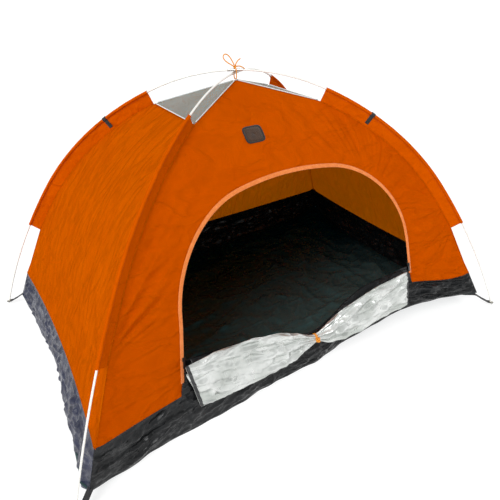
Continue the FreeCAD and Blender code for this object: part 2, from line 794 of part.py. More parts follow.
def cord_tube(points, diameter):
    """A cord along straight runs, with an arc at each point as large as its runs allow."""
    share = 0.45
    edges = []
    radii = []
    at = points[0]
    for before, here, after in zip(points, points[1:], points[2:]):
        run = min((here - before).Length, (after - here).Length)
        come, go = (here - before).normalize(), (after - here).normalize()
        turn = come.getAngle(go)
        trim = share * run
        radii.append(trim / math.tan(turn / 2))
        start, end = here - come * trim, here + go * trim
        inside = (go - come).normalize()
        middle = here + inside * (radii[-1] / math.cos(turn / 2) - radii[-1])
        edges.append(Part.makeLine(at, start))
        edges.append(Part.Arc(start, middle, end).toShape())
        at = end
    edges.append(Part.makeLine(at, points[-1]))
    path = Part.Wire(edges)
    circle = Part.makeCircle(diameter / 2, points[0], points[1] - points[0])
    tube = path.makePipeShell([Part.Wire(circle)], True, False)
    print("cord", round(path.Length, 1), "radii", [round(radius, 1) for radius in radii],
          "volume ratio", round(tube.Volume / (math.pi * diameter ** 2 / 4 * path.Length), 4))
    return tube


KNOT = Vector(0, 0, size("crown_height") + CROSSING_GAP / 2 + size("ferrule_diameter") / 2 + 7)

# The bow's loop lies in a slanted plane: steps along it and across it from the knot.
LOOP_ALONG = Vector(-0.591, 0.342, 0.731)
LOOP_ACROSS = Vector(-0.772, 0.022, -0.635)
LOOP_ROUTE = [(6, 2.6), (20, 7), (34, 10.5), (47, 11), (55.5, 7.8), (59, 0)]
LOOP_ROUTE += [(along, -across) for along, across in reversed(LOOP_ROUTE[:5])]

# The tails and the riser, as steps from the knot.
LONG_TAIL = [(5, -1, 1), (15, -3, 2), (26, -6, -2), (36, -9, -9), (42, -10, -18)]
SHORT_TAIL = [(1.5, -1, 5), (5, -3, 14.5), (12, -5, 23), (21, -7, 28)]
RISER = [(0, -4.5, -3.2), (0, -10.2, -12), (0, -9.5, -26), (0, -9.5, -38.8), (0, -3.9, -44.4)]
RISER += [(0, -y, z) for _, y, z in reversed(RISER)]


def make_crown_tie():
    """The cord that holds the canopy's apex up to the crossing, tied in a half bow."""
    knot = Part.makeSphere(1)
    shape = Matrix()
    shape.scale(7, 6, 5.5)
    add_piece("crown_tie_knot", knot.transformGeometry(shape), Placement(KNOT, Rotation()))
    loop = [KNOT + LOOP_ALONG * along + LOOP_ACROSS * across for along, across in LOOP_ROUTE]
    add_piece("crown_tie_loop", cord_tube(loop, size("tie_cord")))
    for label, route in (("long_tail", LONG_TAIL), ("short_tail", SHORT_TAIL), ("riser", RISER)):
        points = [KNOT + Vector(*step) for step in route]
        add_piece(f"crown_tie_{label}", cord_tube(points, size("tie_cord")))


# ---------------------------------------------------------------- build and write


def main():
    make_floor()
    make_tub()
    make_canopy()
    make_piping()
    make_sleeves()
    make_loops()
    make_poles()
    make_ferrules()
    make_shock_cords()
    make_end_tips()
    make_tabs()
    make_grommets()
    make_badge()
    make_zip_tape()
    make_door_apron()
    make_sliders()
    make_pulls()
    make_door_flap()
    make_flap_tie()
    make_crown_tie()
    doc.recompute()

    for item in doc.Objects:
        if {"Invalid", "Error"} & set(item.State):
            raise RuntimeError(f"{item.Label} did not build: {item.State}")
    os.makedirs("parts", exist_ok=True)
    for piece in PIECES:
        shape = piece.Shape
        if shape.isNull() or not shape.isValid() or not shape.Solids or shape.Volume <= 0:
            raise RuntimeError(f"{piece.Label} has no valid solid")
        shape.exportStep(f"parts/{piece.Label}.step")
        print(f"{piece.Label:28s} {len(shape.Solids)} solid(s) {shape.Volume:12.1f} mm3")
    for hand, label in ((-1, "left"), (1, "right")):
        frame = zip_frame(hand)
        print("zip", label, frame.Base, frame.Rotation.multVec(Vector(1, 0, 0)),
              frame.Rotation.multVec(Vector(0, 1, 0)), frame.Rotation.multVec(UP))


main()
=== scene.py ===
import math

import bmesh
import bpy
import numpy as np
from mathutils import Matrix, Vector


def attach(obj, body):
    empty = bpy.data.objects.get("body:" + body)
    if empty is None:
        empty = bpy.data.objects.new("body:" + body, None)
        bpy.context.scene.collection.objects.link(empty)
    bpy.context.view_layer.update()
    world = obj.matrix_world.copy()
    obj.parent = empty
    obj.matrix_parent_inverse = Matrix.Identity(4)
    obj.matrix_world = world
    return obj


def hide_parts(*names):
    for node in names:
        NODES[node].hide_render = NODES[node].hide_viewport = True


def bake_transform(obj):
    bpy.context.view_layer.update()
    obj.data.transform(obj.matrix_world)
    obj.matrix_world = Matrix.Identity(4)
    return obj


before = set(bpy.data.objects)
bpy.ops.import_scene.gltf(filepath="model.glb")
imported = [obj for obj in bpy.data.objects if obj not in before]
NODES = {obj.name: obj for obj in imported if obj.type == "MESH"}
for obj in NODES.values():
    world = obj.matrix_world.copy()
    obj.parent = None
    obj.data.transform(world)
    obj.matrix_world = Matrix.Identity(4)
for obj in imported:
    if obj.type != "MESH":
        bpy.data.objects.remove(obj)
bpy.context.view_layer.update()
SCENE = bpy.context.scene

# Two-pole dome tent, in metres, in the CAD model's frame: +Z up, the door faces -Y.

# ---------------------------------------------------------------- sizes shared with the CAD model

HALF_LENGTH = 1.000
HALF_WIDTH = 0.666
HALF_DIAGONAL = math.hypot(HALF_LENGTH, HALF_WIDTH)
DIAGONAL_TURN = math.atan2(HALF_WIDTH, HALF_LENGTH)
CROSSING_GAP = 0.0093
CORNERS = {
    "back_right": (DIAGONAL_TURN, -CROSSING_GAP / 2),
    "front_left": (math.pi + DIAGONAL_TURN, -CROSSING_GAP / 2),
    "front_right": (-DIAGONAL_TURN, CROSSING_GAP / 2),
    "back_left": (math.pi - DIAGONAL_TURN, CROSSING_GAP / 2),
}
CROWN = 1.099
RADII = (0.827, 1.243, 2.950)
TURNS = (0, math.radians(21.64), math.radians(53.69))
TIP_HEIGHT = 0.0036
SLEEVE_FIN = 0.046
SLEEVE_START, SLEEVE_END = 0.357, 1.222
LOOP_PLACE, LOOP_WIDTH = 0.570, 0.016
APEX, VENT, LEG, TUB = 1.067, 0.984, 0.426, 0.185
TUB_CORNER, GROUND_CORNER = 1.050, 1.112
SILL, SILL_HALF = 0.227, 0.550
KNEE, KNEE_HALF = 0.475, 0.512
SHOULDER_RADIUS, DOOR_TOP = 0.375, 0.805
TAPE_OVERHANG = 0.006
FLAP_HALF, FLAP_OUT, FLAP_BOW = 0.515, 0.549, 0.028
CORD = 0.0042
CLOTH = 0.0010
HEM_OVERLAP, HEM_STANDOFF = 0.006, 0.0022
CANOPY_WEAVE, TUB_WEAVE = 0.0011, 0.0024
# How far round the roll a turn of the flap is.
ROLL = 0.36
# How much longer the front wall is up its slope than straight up.
WALL_SLOPE = 1.12
# The flap's two ends, as shares of its half length.
FLAP_ENDS = (-1.015, 0.985)
UP = np.array([0.0, 0.0, 1.0])


def bow(lift):
    """The three arcs of half a pole: (centre out, centre up, radius, start and end angle)."""
    out, up = 0.0, CROWN + lift - RADII[0]
    arcs = []
    for i, radius in enumerate(RADII):
        if i:
            out += (RADII[i - 1] - radius) * math.sin(TURNS[i])
            up += (RADII[i - 1] - radius) * math.cos(TURNS[i])
        end = TURNS[i + 1] if i < 2 else math.acos((TIP_HEIGHT - up) / radius)
        arcs.append((out, up, radius, TURNS[i], end))
    return arcs


def bow_point(along, lift):
    """How far out and up a pole's centreline is, and its angle, at a distance from the crown."""
    for out, up, radius, start, end in bow(lift):
        span = radius * (end - start)
        if along <= span + 1e-9:
            angle = start + along / radius
            return out + radius * math.sin(angle), up + radius * math.cos(angle), angle
        along -= span
    raise ValueError("beyond the pole's foot")


def seam_at(height):
    if height > VENT:
        return seam_at(VENT) * (APEX - height) / (APEX - VENT)
    if height < LEG:
        return TUB_CORNER + (height - TUB) * (seam_at(LEG) - TUB_CORNER) / (LEG - TUB)
    for out, up, radius, _, end in bow(0):
        inner = radius - SLEEVE_FIN
        angle = math.acos(min(1, (height - up) / inner))
        if angle <= end:
            return out + inner * math.sin(angle)
    raise ValueError("below the pole's foot")


SEAM_HEIGHTS = np.linspace(0, APEX, 1068)
SEAM_OUTS = np.array([seam_at(height) for height in SEAM_HEIGHTS])


def seam_out(height):
    """How far out from the centre the canopy's corner seam is, at one height or many."""
    return np.interp(height, SEAM_HEIGHTS, SEAM_OUTS)


PULL = {"front": (0.088, 0.036, 0.131), "back": (0.015, 0.010, 0.020),
        "left": (0.026, 0.012, 0.035), "right": (0.026, 0.012, 0.035)}
WALLS = {
    "front": (np.array([0.0, -1.0, 0.0]), HALF_LENGTH, HALF_WIDTH),
    "back": (np.array([0.0, 1.0, 0.0]), HALF_LENGTH, HALF_WIDTH),
    "left": (np.array([-1.0, 0.0, 0.0]), HALF_WIDTH, HALF_LENGTH),
    "right": (np.array([1.0, 0.0, 0.0]), HALF_WIDTH, HALF_LENGTH),
}


def pulled_in(side, height):
    """How far a wall's middle is in from a straight line between its corners."""
    low, mid, _ = PULL[side]
    slope = (low - mid) / (LEG - TUB)
    share = np.clip((VENT - height) / (VENT - LEG), 0, 1)
    above = mid * share ** (slope * (VENT - LEG) / mid)
    return np.where(height <= LEG, mid + slope * (LEG - height), above)


def wall(side, share, height):
    """Points of a wall's outer face. share runs from -1 at one corner seam to 1 at the other."""
    facing, along, away = WALLS[side]
    run = np.cross(UP, facing)
    reach = seam_out(height) / HALF_DIAGONAL
    out = away * reach - pulled_in(side, height) * (1 - share * share)
    sideways = share * along * reach
    return (sideways[..., None] * run + out[..., None] * facing
            + np.asarray(height)[..., None] * UP)


# ---------------------------------------------------------------- cloth: noise and creases


def smooth(x, low=0.0, high=1.0):
    """0 at low, 1 at high, eased at both ends; low may be the larger."""
    t = np.clip((x - low) / (high - low), 0, 1)
    return t * t * (3 - 2 * t)


def corner_round(side, share, height):
    """How far the canopy's lowest corners are drawn up into a round turn."""
    near = np.exp(-((1 - np.abs(share)) * WALLS[side][1] / 0.022) ** 2)
    return 0.008 * near * (1 - smooth(height, TUB, TUB + 0.08))


def foot_hitch(x):
    """How far the tub's foot is off the ground along the door side, right of the middle."""
    return 0.088 * smooth(x, 0.10, 0.60) * (1 - 0.20 * smooth(x, 0.65, 0.93))


def seam_hitch(x):
    """How far the tub's top is drawn up there."""
    return 0.045 * smooth(x, 0.05, 0.45) * (1 - smooth(x, 0.52, 0.80))


def sill_dip(x):
    """How far the sill sags where the tied flap hangs from it."""
    return 0.058 * np.exp(-((x - 0.03) / 0.17) ** 2)


def hitched(points):
    """Points of the front wall, the lowest of them drawn up or let down along it with the tub."""
    x, z = points[..., 0], points[..., 2]
    up = (seam_hitch(x) - sill_dip(x)) * (1 - smooth(z, TUB + 0.052, 0.300))
    door_lean, wall_lean = 0.28, 0.149
    slope = np.stack([-door_lean * x, np.full(x.shape, wall_lean), np.ones(x.shape)], axis=-1)
    return points + up[..., None] * slope


def ripple(u, v, seed):
    """Smooth noise from about -1 to 1 with one bump to each unit of u and v."""
    angles = np.random.default_rng(seed).uniform(0, 2 * math.pi, (97, 89))
    iu, iv = np.floor(u).astype(int), np.floor(v).astype(int)
    fu, fv = u - iu, v - iv
    wu = fu ** 3 * (fu * (fu * 6 - 15) + 10)
    wv = fv ** 3 * (fv * (fv * 6 - 15) + 10)
    total = 0
    for du in (0, 1):
        for dv in (0, 1):
            angle = angles[(iu + du) % 97, (iv + dv) % 89]
            slope = np.cos(angle) * (fu - du) + np.sin(angle) * (fv - dv)
            total = total + slope * (wu if du else 1 - wu) * (wv if dv else 1 - wv)
    return total * 1.5


def turned(u, v, degrees):
    c, s = math.cos(math.radians(degrees)), math.sin(math.radians(degrees))
    return u * c + v * s, v * c - u * s


def folds(u, v, seed):
    """Flat facets between sharp creases, from about -1 to 1."""
    warp = ripple(u * 0.7, v * 0.7, seed + 50)
    first = np.abs(ripple(u + warp * 0.6, v - warp * 0.5, seed))
    second = np.abs(ripple(u * 1.9 + 7.3, v * 1.9 + warp, seed + 1))
    return 1 - 2.6 * first - 1.2 * second


def ridges(u, v, seed, width=2.2):
    """Sharp crests, 1 along their tops and 0 in the flats between them."""
    warp = ripple(u * 0.6 + 3.1, v * 0.6, seed + 30)
    return np.clip(1 - width * np.abs(ripple(u + 0.5 * warp, v + 0.3 * warp, seed)), 0, 1)


def fan(u, v, at, spokes, reach, seed):
    """Wrinkles that spread out from a point, gone at the reach."""
    du, dv = u - at[0], v - at[1]
    far = np.hypot(du, dv)
    angle = np.arctan2(dv, du)
    fade = np.exp(-(far / reach) ** 2) * smooth(far, 0.01, 0.10)
    sharp = ridges(angle * spokes, far / 0.60 + 3.1, seed, 2.0) - 0.4
    return 0.6 * (sharp + ripple(angle * spokes, far / 0.45 + 3.1, seed)) * fade


# ---------------------------------------------------------------- meshes


def link(name, data):
    thing = bpy.data.objects.new(name, data)
    SCENE.collection.objects.link(thing)
    return thing


def surface(name, grids, closed=False, thickness=0.0, lift=0.0):
    """One object from grids of (points, uv), joined where their points meet."""
    points, faces, uvs = [], [], []
    start = 0
    for grid, uv in grids:
        rows, columns = grid.shape[:2]
        across = columns if closed else columns - 1
        number = np.arange(rows * columns).reshape(rows, columns) + start
        right = np.roll(number, -1, axis=1)
        quads = np.stack([number[:-1, :across], right[:-1, :across],
                          right[1:, :across], number[1:, :across]], axis=-1)
        faces.append(quads.reshape(-1, 4))
        points.append(grid.reshape(-1, 3))
        uvs.append(uv.reshape(-1, 2))
        start += rows * columns
    points, faces, uvs = np.concatenate(points), np.concatenate(faces), np.concatenate(uvs)
    mesh = bpy.data.meshes.new(name)
    mesh.from_pydata(points.tolist(), [], faces.tolist())
    layer = mesh.uv_layers.new(name="cloth")
    corner = np.zeros(len(mesh.loops), int)
    mesh.loops.foreach_get("vertex_index", corner)
    layer.data.foreach_set("uv", uvs[corner].astype(np.float32).ravel())
    if len(grids) > 1:
        work = bmesh.new()
        work.from_mesh(mesh)
        bmesh.ops.remove_doubles(work, verts=work.verts, dist=0.00005)
        work.to_mesh(mesh)
        work.free()
    mesh.polygons.foreach_set("use_smooth", [True] * len(mesh.polygons))
    mesh.update()
    thing = link(name, mesh)
    if thickness:
        solid = thing.modifiers.new("thickness", "SOLIDIFY")
        solid.thickness = thickness
        solid.offset = lift
        solid.use_even_offset = False
    return thing


def run_along(path):
    """The distance from a path's start to each of its points."""
    return np.concatenate([[0], np.cumsum(np.linalg.norm(np.diff(path, axis=0), axis=1))])


def unit(vectors):
    return vectors / np.linalg.norm(vectors, axis=-1, keepdims=True)


def sweep(name, path, sides, ups, section, close_ends=True):
    """A section of (side, up) steps carried along a path; one section, or one to each point."""
    path, sides, ups = np.asarray(path), np.asarray(sides), np.asarray(ups)
    section = np.asarray(section)
    if section.ndim == 2:
        section = np.broadcast_to(section, (len(path),) + section.shape)
    points = path[:, None] + section[..., :1] * sides[:, None] + section[..., 1:] * ups[:, None]
    along = run_along(path)
    count = section.shape[1]
    round_it = np.arange(count) * 0.002
    uv = np.stack(np.broadcast_arrays(round_it[None, :], along[:, None]), axis=-1)
    thing = surface(name, [(points, uv)], closed=True)
    if close_ends:
        work = bmesh.new()
        work.from_mesh(thing.data)
        work.verts.ensure_lookup_table()
        last = (len(path) - 1) * count
        work.faces.new([work.verts[i] for i in range(count)])
        work.faces.new([work.verts[last + i] for i in range(count)][::-1])
        bmesh.ops.recalc_face_normals(work, faces=work.faces)
        work.to_mesh(thing.data)
        work.free()
    return thing


def circle(radius, count):
    turn = np.arange(count) * 2 * math.pi / count
    return np.stack([radius * np.cos(turn), radius * np.sin(turn)], axis=1)


def path_frames(path, hint=(0.0, 0.0, 1.0)):
    """Side and up directions along a path, turning as little as they can."""
    path = np.asarray(path, float)
    along = unit(np.gradient(path, axis=0))
    ups = np.zeros_like(path)
    up = np.asarray(hint, float)
    for i, direction in enumerate(along):
        up = up - direction * up.dot(direction)
        up = up / np.linalg.norm(up)
        ups[i] = up
    return np.cross(along, ups), ups


def join(name, things):
    """One object from several meshes; each keeps its own material."""
    bpy.ops.object.select_all(action="DESELECT")
    for thing in things:
        thing.select_set(True)
    bpy.context.view_layer.objects.active = things[0]
    bpy.ops.object.join()
    things[0].name = name
    things[0].data.name = name
    return things[0]


def stitches(name, path, normals, stitch=0.0034, gap=0.0016, thread=0.00045):
    """A row of short threads along a path, each dipping into the cloth at both ends."""
    path, normals = np.asarray(path), np.asarray(normals)
    along = run_along(path)
    count = int(along[-1] / (stitch + gap))
    starts = np.arange(count) * (stitch + gap) + gap / 2
    at = starts[:, None] + np.array([0.0, 0.3, 0.7, 1.0]) * stitch
    place = np.stack([np.interp(at, along, path[:, k]) for k in range(3)], axis=-1)
    up = np.stack([np.interp(at, along, normals[:, k]) for k in range(3)], axis=-1)
    up /= np.linalg.norm(up, axis=-1, keepdims=True)
    forward = place[:, -1:] - place[:, :1]
    forward = forward / np.linalg.norm(forward, axis=-1, keepdims=True)
    side = np.cross(forward, up)
    rise = np.array([-0.6, 0.45, 0.45, -0.6])[:, None] * thread
    place = place + up * rise
    ring = np.array([(-1, -0.5), (0, 0.9), (1, -0.5)]) * thread
    points = (place[:, :, None] + side[:, :, None] * ring[:, :1] + up[:, :, None] * ring[:, 1:])
    grids = points.reshape(count, 4, 3, 3)
    quads = []
    for i in range(3):
        for j in range(3):
            k = (j + 1) % 3
            quads.append((i * 3 + j, i * 3 + k, i * 3 + 3 + k, i * 3 + 3 + j))
    faces = (np.arange(count)[:, None, None] * 12 + np.array(quads)).reshape(-1, 4)
    ends = (np.arange(count)[:, None, None] * 12 + np.array([(2, 1, 0), (9, 10, 11)])).reshape(-1, 3)
    mesh = bpy.data.meshes.new(name)
    mesh.from_pydata(grids.reshape(-1, 3).tolist(), [], faces.tolist() + ends.tolist())
    mesh.polygons.foreach_set("use_smooth", [True] * len(mesh.polygons))
    return link(name, mesh)


# ---------------------------------------------------------------- materials


class Paint:
    """A node material with short ways to add what cloth and metal need."""

    def __init__(self, name, colour, rough, metal=0.0, specular=0.5, **sockets):
        self.material = bpy.data.materials.new(name)
        self.material.use_nodes = True
        self.tree = self.material.node_tree
        self.shader = self.tree.nodes["Principled BSDF"]
        self.colour = tuple(colour) + (1.0,)
        self.shader.inputs["Base Color"].default_value = self.colour
        self.shader.inputs["Roughness"].default_value = rough
        self.shader.inputs["Metallic"].default_value = metal
        self.shader.inputs["Specular IOR Level"].default_value = specular
        for socket, value in sockets.items():
            self.shader.inputs[socket.replace("_", " ")].default_value = value
        self.place = self.add("ShaderNodeTexCoord")
        self.height = None

    def add(self, kind, **inputs):
        node = self.tree.nodes.new(kind)
        for key, value in inputs.items():
            self.feed(node, key.replace("_", " "), value)
        return node

    def feed(self, node, key, value):
        key = int(key) if key.isdigit() else key
        if isinstance(value, bpy.types.NodeSocket):
            self.tree.links.new(value, node.inputs[key])
        else:
            node.inputs[key].default_value = value

    def spot(self, stretch=(1, 1, 1), space="Object", turn=0.0):
        """Coordinates in metres, stretched."""
        node = self.add("ShaderNodeMapping", Vector=self.place.outputs[space])
        node.inputs["Scale"].default_value = stretch
        node.inputs["Rotation"].default_value = (0, 0, turn)
        return node.outputs["Vector"]

    def noise(self, scale, detail=3.0, rough=0.55, stretch=(1, 1, 1), space="Object", warp=0.0):
        node = self.add("ShaderNodeTexNoise", Vector=self.spot(stretch, space), Scale=scale,
                        Detail=detail, Roughness=rough, Distortion=warp)
        return node.outputs["Fac"]

    def creases(self, scale, stretch=(1, 1, 1), space="Object"):
        """Sharp-edged facets, as in crumpled cloth."""
        drift = self.noise(scale * 0.6, 2.0, 0.5, stretch, space)
        moved = self.add("ShaderNodeVectorMath")
        moved.operation = "ADD"
        self.feed(moved, "0", self.spot(stretch, space))
        push = self.add("ShaderNodeVectorMath")
        push.operation = "SCALE"
        self.feed(push, "0", self.combine(drift, drift, drift))
        push.inputs["Scale"].default_value = 1.4 / scale
        self.feed(moved, "1", push.outputs[0])
        node = self.add("ShaderNodeTexVoronoi", Vector=moved.outputs[0], Scale=scale)
        node.feature = "F1"
        return node.outputs["Distance"]

    def ridge(self, scale, stretch, thin=0.13, warp=0.5, space="UV"):
        """Sharp crests with smooth hollows between them, from 0 to 1."""
        value = self.noise(scale, 1.6, 0.42, stretch, space, warp)
        off = self.maths("ABSOLUTE", self.maths("SUBTRACT", value, 0.5))
        return self.ramp(off, 0.0, thin, 1.0, 0.0)

    def combine(self, x, y, z):
        node = self.add("ShaderNodeCombineXYZ", X=x, Y=y, Z=z)
        return node.outputs[0]

    def maths(self, how, a, b=0.0):
        node = self.add("ShaderNodeMath")
        node.operation = how
        self.feed(node, "0", a)
        self.feed(node, "1", b)
        return node.outputs[0]

    def weave(self, pitch, space="UV"):
        """Over-and-under threads at a pitch in metres, from 0 to 1."""
        split = self.add("ShaderNodeSeparateXYZ", Vector=self.spot((1, 1, 1), space))
        waves = [self.maths("SINE", self.maths("MULTIPLY", split.outputs[i], 2 * math.pi / pitch))
                 for i in (0, 1)]
        both = self.maths("MULTIPLY", waves[0], waves[1])
        return self.maths("MULTIPLY_ADD", both, 0.5)

    def ramp(self, value, low, high, dark, light):
        node = self.add("ShaderNodeMapRange", Value=value)
        node.inputs["From Min"].default_value = low
        node.inputs["From Max"].default_value = high
        node.inputs["To Min"].default_value = dark
        node.inputs["To Max"].default_value = light
        return node.outputs["Result"]

    def tint(self, value, low, high, first, second):
        """A colour that goes from first to second with value; either may be an earlier result."""
        node = self.add("ShaderNodeMix")
        node.data_type = "RGBA"
        share = self.ramp(value, low, high, 0.0, 1.0)
        self.tree.links.new(share, node.inputs["Factor"])
        for key, colour in (("A", first), ("B", second)):
            socket = next(s for s in node.inputs if s.name == key and s.type == "RGBA")
            if isinstance(colour, bpy.types.NodeSocket):
                self.tree.links.new(colour, socket)
            else:
                socket.default_value = tuple(colour) + (1.0,)
        result = next(s for s in node.outputs if s.type == "RGBA")
        self.tree.links.new(result, self.shader.inputs["Base Color"])
        return result

    def rough(self, value, low, high, least, most):
        result = self.ramp(value, low, high, least, most)
        self.tree.links.new(result, self.shader.inputs["Roughness"])

    def bump(self, value, distance, strength=1.0):
        """Stacks one more height over those already there."""
        node = self.add("ShaderNodeBump", Height=value, Strength=strength, Distance=distance)
        if self.height is not None:
            self.tree.links.new(self.height, node.inputs["Normal"])
        self.height = node.outputs["Normal"]
        self.tree.links.new(self.height, self.shader.inputs["Normal"])

    def lets_light_through(self, colour, share):
        """Some of the light that falls on one face of the cloth comes out of the other."""
        glow = self.add("ShaderNodeBsdfTranslucent")
        glow.inputs["Color"].default_value = tuple(colour) + (1.0,)
        if self.height is not None:
            self.tree.links.new(self.height, glow.inputs["Normal"])
        mix = self.add("ShaderNodeMixShader")
        mix.inputs[0].default_value = share
        self.tree.links.new(self.shader.outputs[0], mix.inputs[1])
        self.tree.links.new(glow.outputs[0], mix.inputs[2])
        self.tree.links.new(mix.outputs[0], self.tree.nodes["Material Output"].inputs["Surface"])


def canopy_paint(name, colour, dark, light, glow, share, streak, depth):
    """Coated polyester: a fine weave, faint mottling and creases drawn out one way, with painted shade
    along the long creases and painted highlight along the fine ones.
    """
    paint = Paint(name, colour, 0.6, specular=0.0)
    mottle = paint.noise(5.0, 4.0, 0.6, space="UV")
    shade = paint.tint(mottle, 0.3, 0.7, dark, light)
    # painted shade: the long crease lines are painted darker by depth; the same pattern also bumps the
    # surface
    crease_bump_and_painted_shade = paint.ridge(15.0, streak, 0.10, 0.8)
    shade = paint.tint(crease_bump_and_painted_shade, 0.2, 1.6, shade, [c * (1 - depth) for c in colour])
    # painted highlight: the fine crease lines are painted lighter by depth
    painted_crease_highlight = paint.ridge(34.0, streak, 0.08, 0.6)
    shade = paint.tint(painted_crease_highlight, 0.3, 2.2, shade, [c * (1 + 1.2 * depth) for c in colour])
    paint.tint(paint.weave(CANOPY_WEAVE), -0.6, 1.0, [c * 0.93 for c in colour], shade)
    paint.bump(crease_bump_and_painted_shade, 0.0030, 0.8)
    paint.rough(paint.noise(18.0, 3.0, 0.6, space="UV"), 0.3, 0.7, 0.52, 0.68)
    paint.bump(paint.noise(9.0, 5.0, 0.62, (1.0, 0.55, 1.0), "UV", warp=0.6), 0.012, 0.55)
    paint.bump(paint.creases(26.0, (1.0, 0.7, 1.0), "UV"), 0.004, 0.30)
    paint.bump(paint.weave(CANOPY_WEAVE), 0.00012, 0.35)
    paint.lets_light_through(glow, share)
    return paint.material


def tub_paint(name, dark, light, crumple, gloss, tint=(1.0, 1.0, 1.0)):
    """Woven polyethylene: crisp crumples, a coarse tape weave and a waxy gloss."""
    paint = Paint(name, light, 0.3, specular=gloss, Specular_Tint=tuple(tint) + (1.0,))
    paint.tint(paint.noise(14.0, 5.0, 0.65, space="UV"), 0.32, 0.68, dark, light)
    paint.rough(paint.noise(30.0, 4.0, 0.6, space="UV"), 0.3, 0.7, 0.20, 0.36)
    paint.bump(paint.ridge(8.0, (0.45, 1.5, 1.0)), 0.008, 0.9 * crumple)
    paint.bump(paint.ridge(22.0, (0.7, 1.2, 1.0)), 0.0022, 0.8 * crumple)
    paint.bump(paint.weave(TUB_WEAVE), 0.0002, 0.5)
    return paint.material


def floor_paint():
    """The ground sheet: as the tub, and paler towards the doorway, with painted light where light falls
    in through the door.
    """
    paint = Paint("ground_sheet", (0.004, 0.014, 0.016), 0.3, specular=0.22,
                  Specular_Tint=(0.22, 0.90, 1.0, 1.0))
    shade = paint.tint(paint.noise(12.0, 4.0, 0.6, space="UV"), 0.32, 0.68,
                       (0.0, 0.005, 0.007), (0.0005, 0.009, 0.012))
    split = paint.add("ShaderNodeSeparateXYZ", Vector=paint.spot((1, 1, 1), "UV"))
    # painted light: the colour grows paler towards the doorway, standing in for the light that falls in
    # through it
    paint.tint(split.outputs[1], 0.25, -0.45, shade, (0.034, 0.057, 0.056))
    paint.rough(paint.noise(30.0, 4.0, 0.6, space="UV"), 0.3, 0.7, 0.22, 0.38)
    paint.bump(paint.ridge(9.0, (0.8, 1.0, 1.0)), 0.006, 0.5)
    paint.bump(paint.weave(TUB_WEAVE), 0.0001, 0.3)
    return paint.material


def silver_paint():
    """The door's silver coating, crinkled where it has been gathered, with painted shade making it
    greyer in the creases.
    """
    paint = Paint("silver_coating", (0.70, 0.72, 0.70), 0.30, metal=0.65, specular=0.5)
    large = paint.ridge(9.0, (0.55, 1.3, 1.0), 0.17)
    small = paint.ridge(26.0, (0.8, 1.3, 1.0), 0.20)
    # painted shade and highlight: darker between the large crease crests, lighter on them
    painted_crease_light = paint.tint(large, 0.0, 0.8, (0.50, 0.53, 0.50), (0.72, 0.74, 0.72))
    paint.tint(paint.noise(8.0, 3.0, 0.5, space="UV"), 0.48, 0.80, painted_crease_light, (0.46, 0.49, 0.46))
    paint.rough(paint.noise(26.0, 4.0, 0.6, space="UV"), 0.3, 0.7, 0.24, 0.38)
    paint.bump(large, 0.0090, 1.0)
    paint.bump(small, 0.0009, 0.8)
    paint.bump(paint.weave(CANOPY_WEAVE), 0.0001, 0.4)
    return paint.material


def net_paint():
    """Fine net: threads with clear holes between them."""
    paint = Paint("mosquito_net", (0.27, 0.34, 0.32), 0.7, specular=0.2)
    split = paint.add("ShaderNodeSeparateXYZ", Vector=paint.spot((1, 1, 1), "UV"))
    pitch = 0.0016
    waves = [paint.maths("ABSOLUTE", paint.maths("SINE", paint.maths(
        "MULTIPLY", split.outputs[i], math.pi / pitch))) for i in (0, 1)]
    hole = paint.maths("MINIMUM", waves[0], waves[1])
    paint.tint(paint.noise(9.0, 3.0, 0.5, space="UV"), 0.3, 0.7, (0.22, 0.30, 0.29), (0.30, 0.39, 0.375))
    solid = paint.ramp(hole, 0.48, 0.66, 1.0, 0.0)
    paint.tree.links.new(solid, paint.shader.inputs["Alpha"])
    return paint.material


def cloth_tape(name, dark, light, pitch=0.0012, rough=0.75, ribs=None):
    """Narrow woven tape or webbing, ribbed along its length if ribs are given."""
    paint = Paint(name, light, rough, specular=0.25, Sheen_Weight=0.15, Sheen_Roughness=0.6)
    shade = paint.tint(paint.noise(60.0, 4.0, 0.6), 0.3, 0.7, dark, light)
    paint.tint(paint.weave(pitch), -0.4, 0.9, [c * 0.8 for c in dark], shade)
    paint.bump(paint.weave(pitch), 0.0004, 0.8)
    if ribs:
        split = paint.add("ShaderNodeSeparateXYZ", Vector=paint.spot((1, 1, 1), "UV"))
        wave = paint.maths("SINE", paint.maths("MULTIPLY", split.outputs[0], 2 * math.pi / ribs))
        paint.bump(wave, 0.0006, 0.7)
    paint.bump(paint.noise(120.0, 3.0, 0.6), 0.0008, 0.5)
    return paint.material


def fibreglass_paint():
    """Pale glass-fibre tube: long fine fibres under a thin clear skin, scuffed here and there."""
    paint = Paint("fibreglass", (0.80, 0.79, 0.73), 0.35, specular=0.5, Coat_Weight=0.25,
                  Coat_Roughness=0.2)
    fibres = paint.noise(260.0, 4.0, 0.6, (0.08, 0.08, 1.0))
    shade = paint.tint(fibres, 0.3, 0.7, (0.72, 0.71, 0.66), (0.86, 0.85, 0.81))
    scuffs = paint.noise(38.0, 5.0, 0.75)
    paint.tint(scuffs, 0.58, 0.74, shade, (0.62, 0.59, 0.51))
    paint.rough(scuffs, 0.4, 0.7, 0.28, 0.55)
    paint.bump(fibres, 0.0004, 0.5)
    return paint.material


def metal_paint(name, colour, rough, grain=220.0, wear=(0.5, 0.5, 0.5)):
    """Plated metal with fine scratches and duller edges."""
    paint = Paint(name, colour, rough, metal=1.0)
    scratches = paint.noise(grain, 4.0, 0.7, (1.0, 1.0, 0.12))
    shade = paint.tint(scratches, 0.3, 0.7, [c * 0.82 for c in colour], colour)
    spots = paint.noise(grain * 0.35, 5.0, 0.7)
    paint.tint(spots, 0.56, 0.74, shade, wear)
    paint.rough(spots, 0.35, 0.7, rough * 0.8, min(1.0, rough * 1.7))
    paint.bump(scratches, 0.0002, 0.5)
    return paint.material


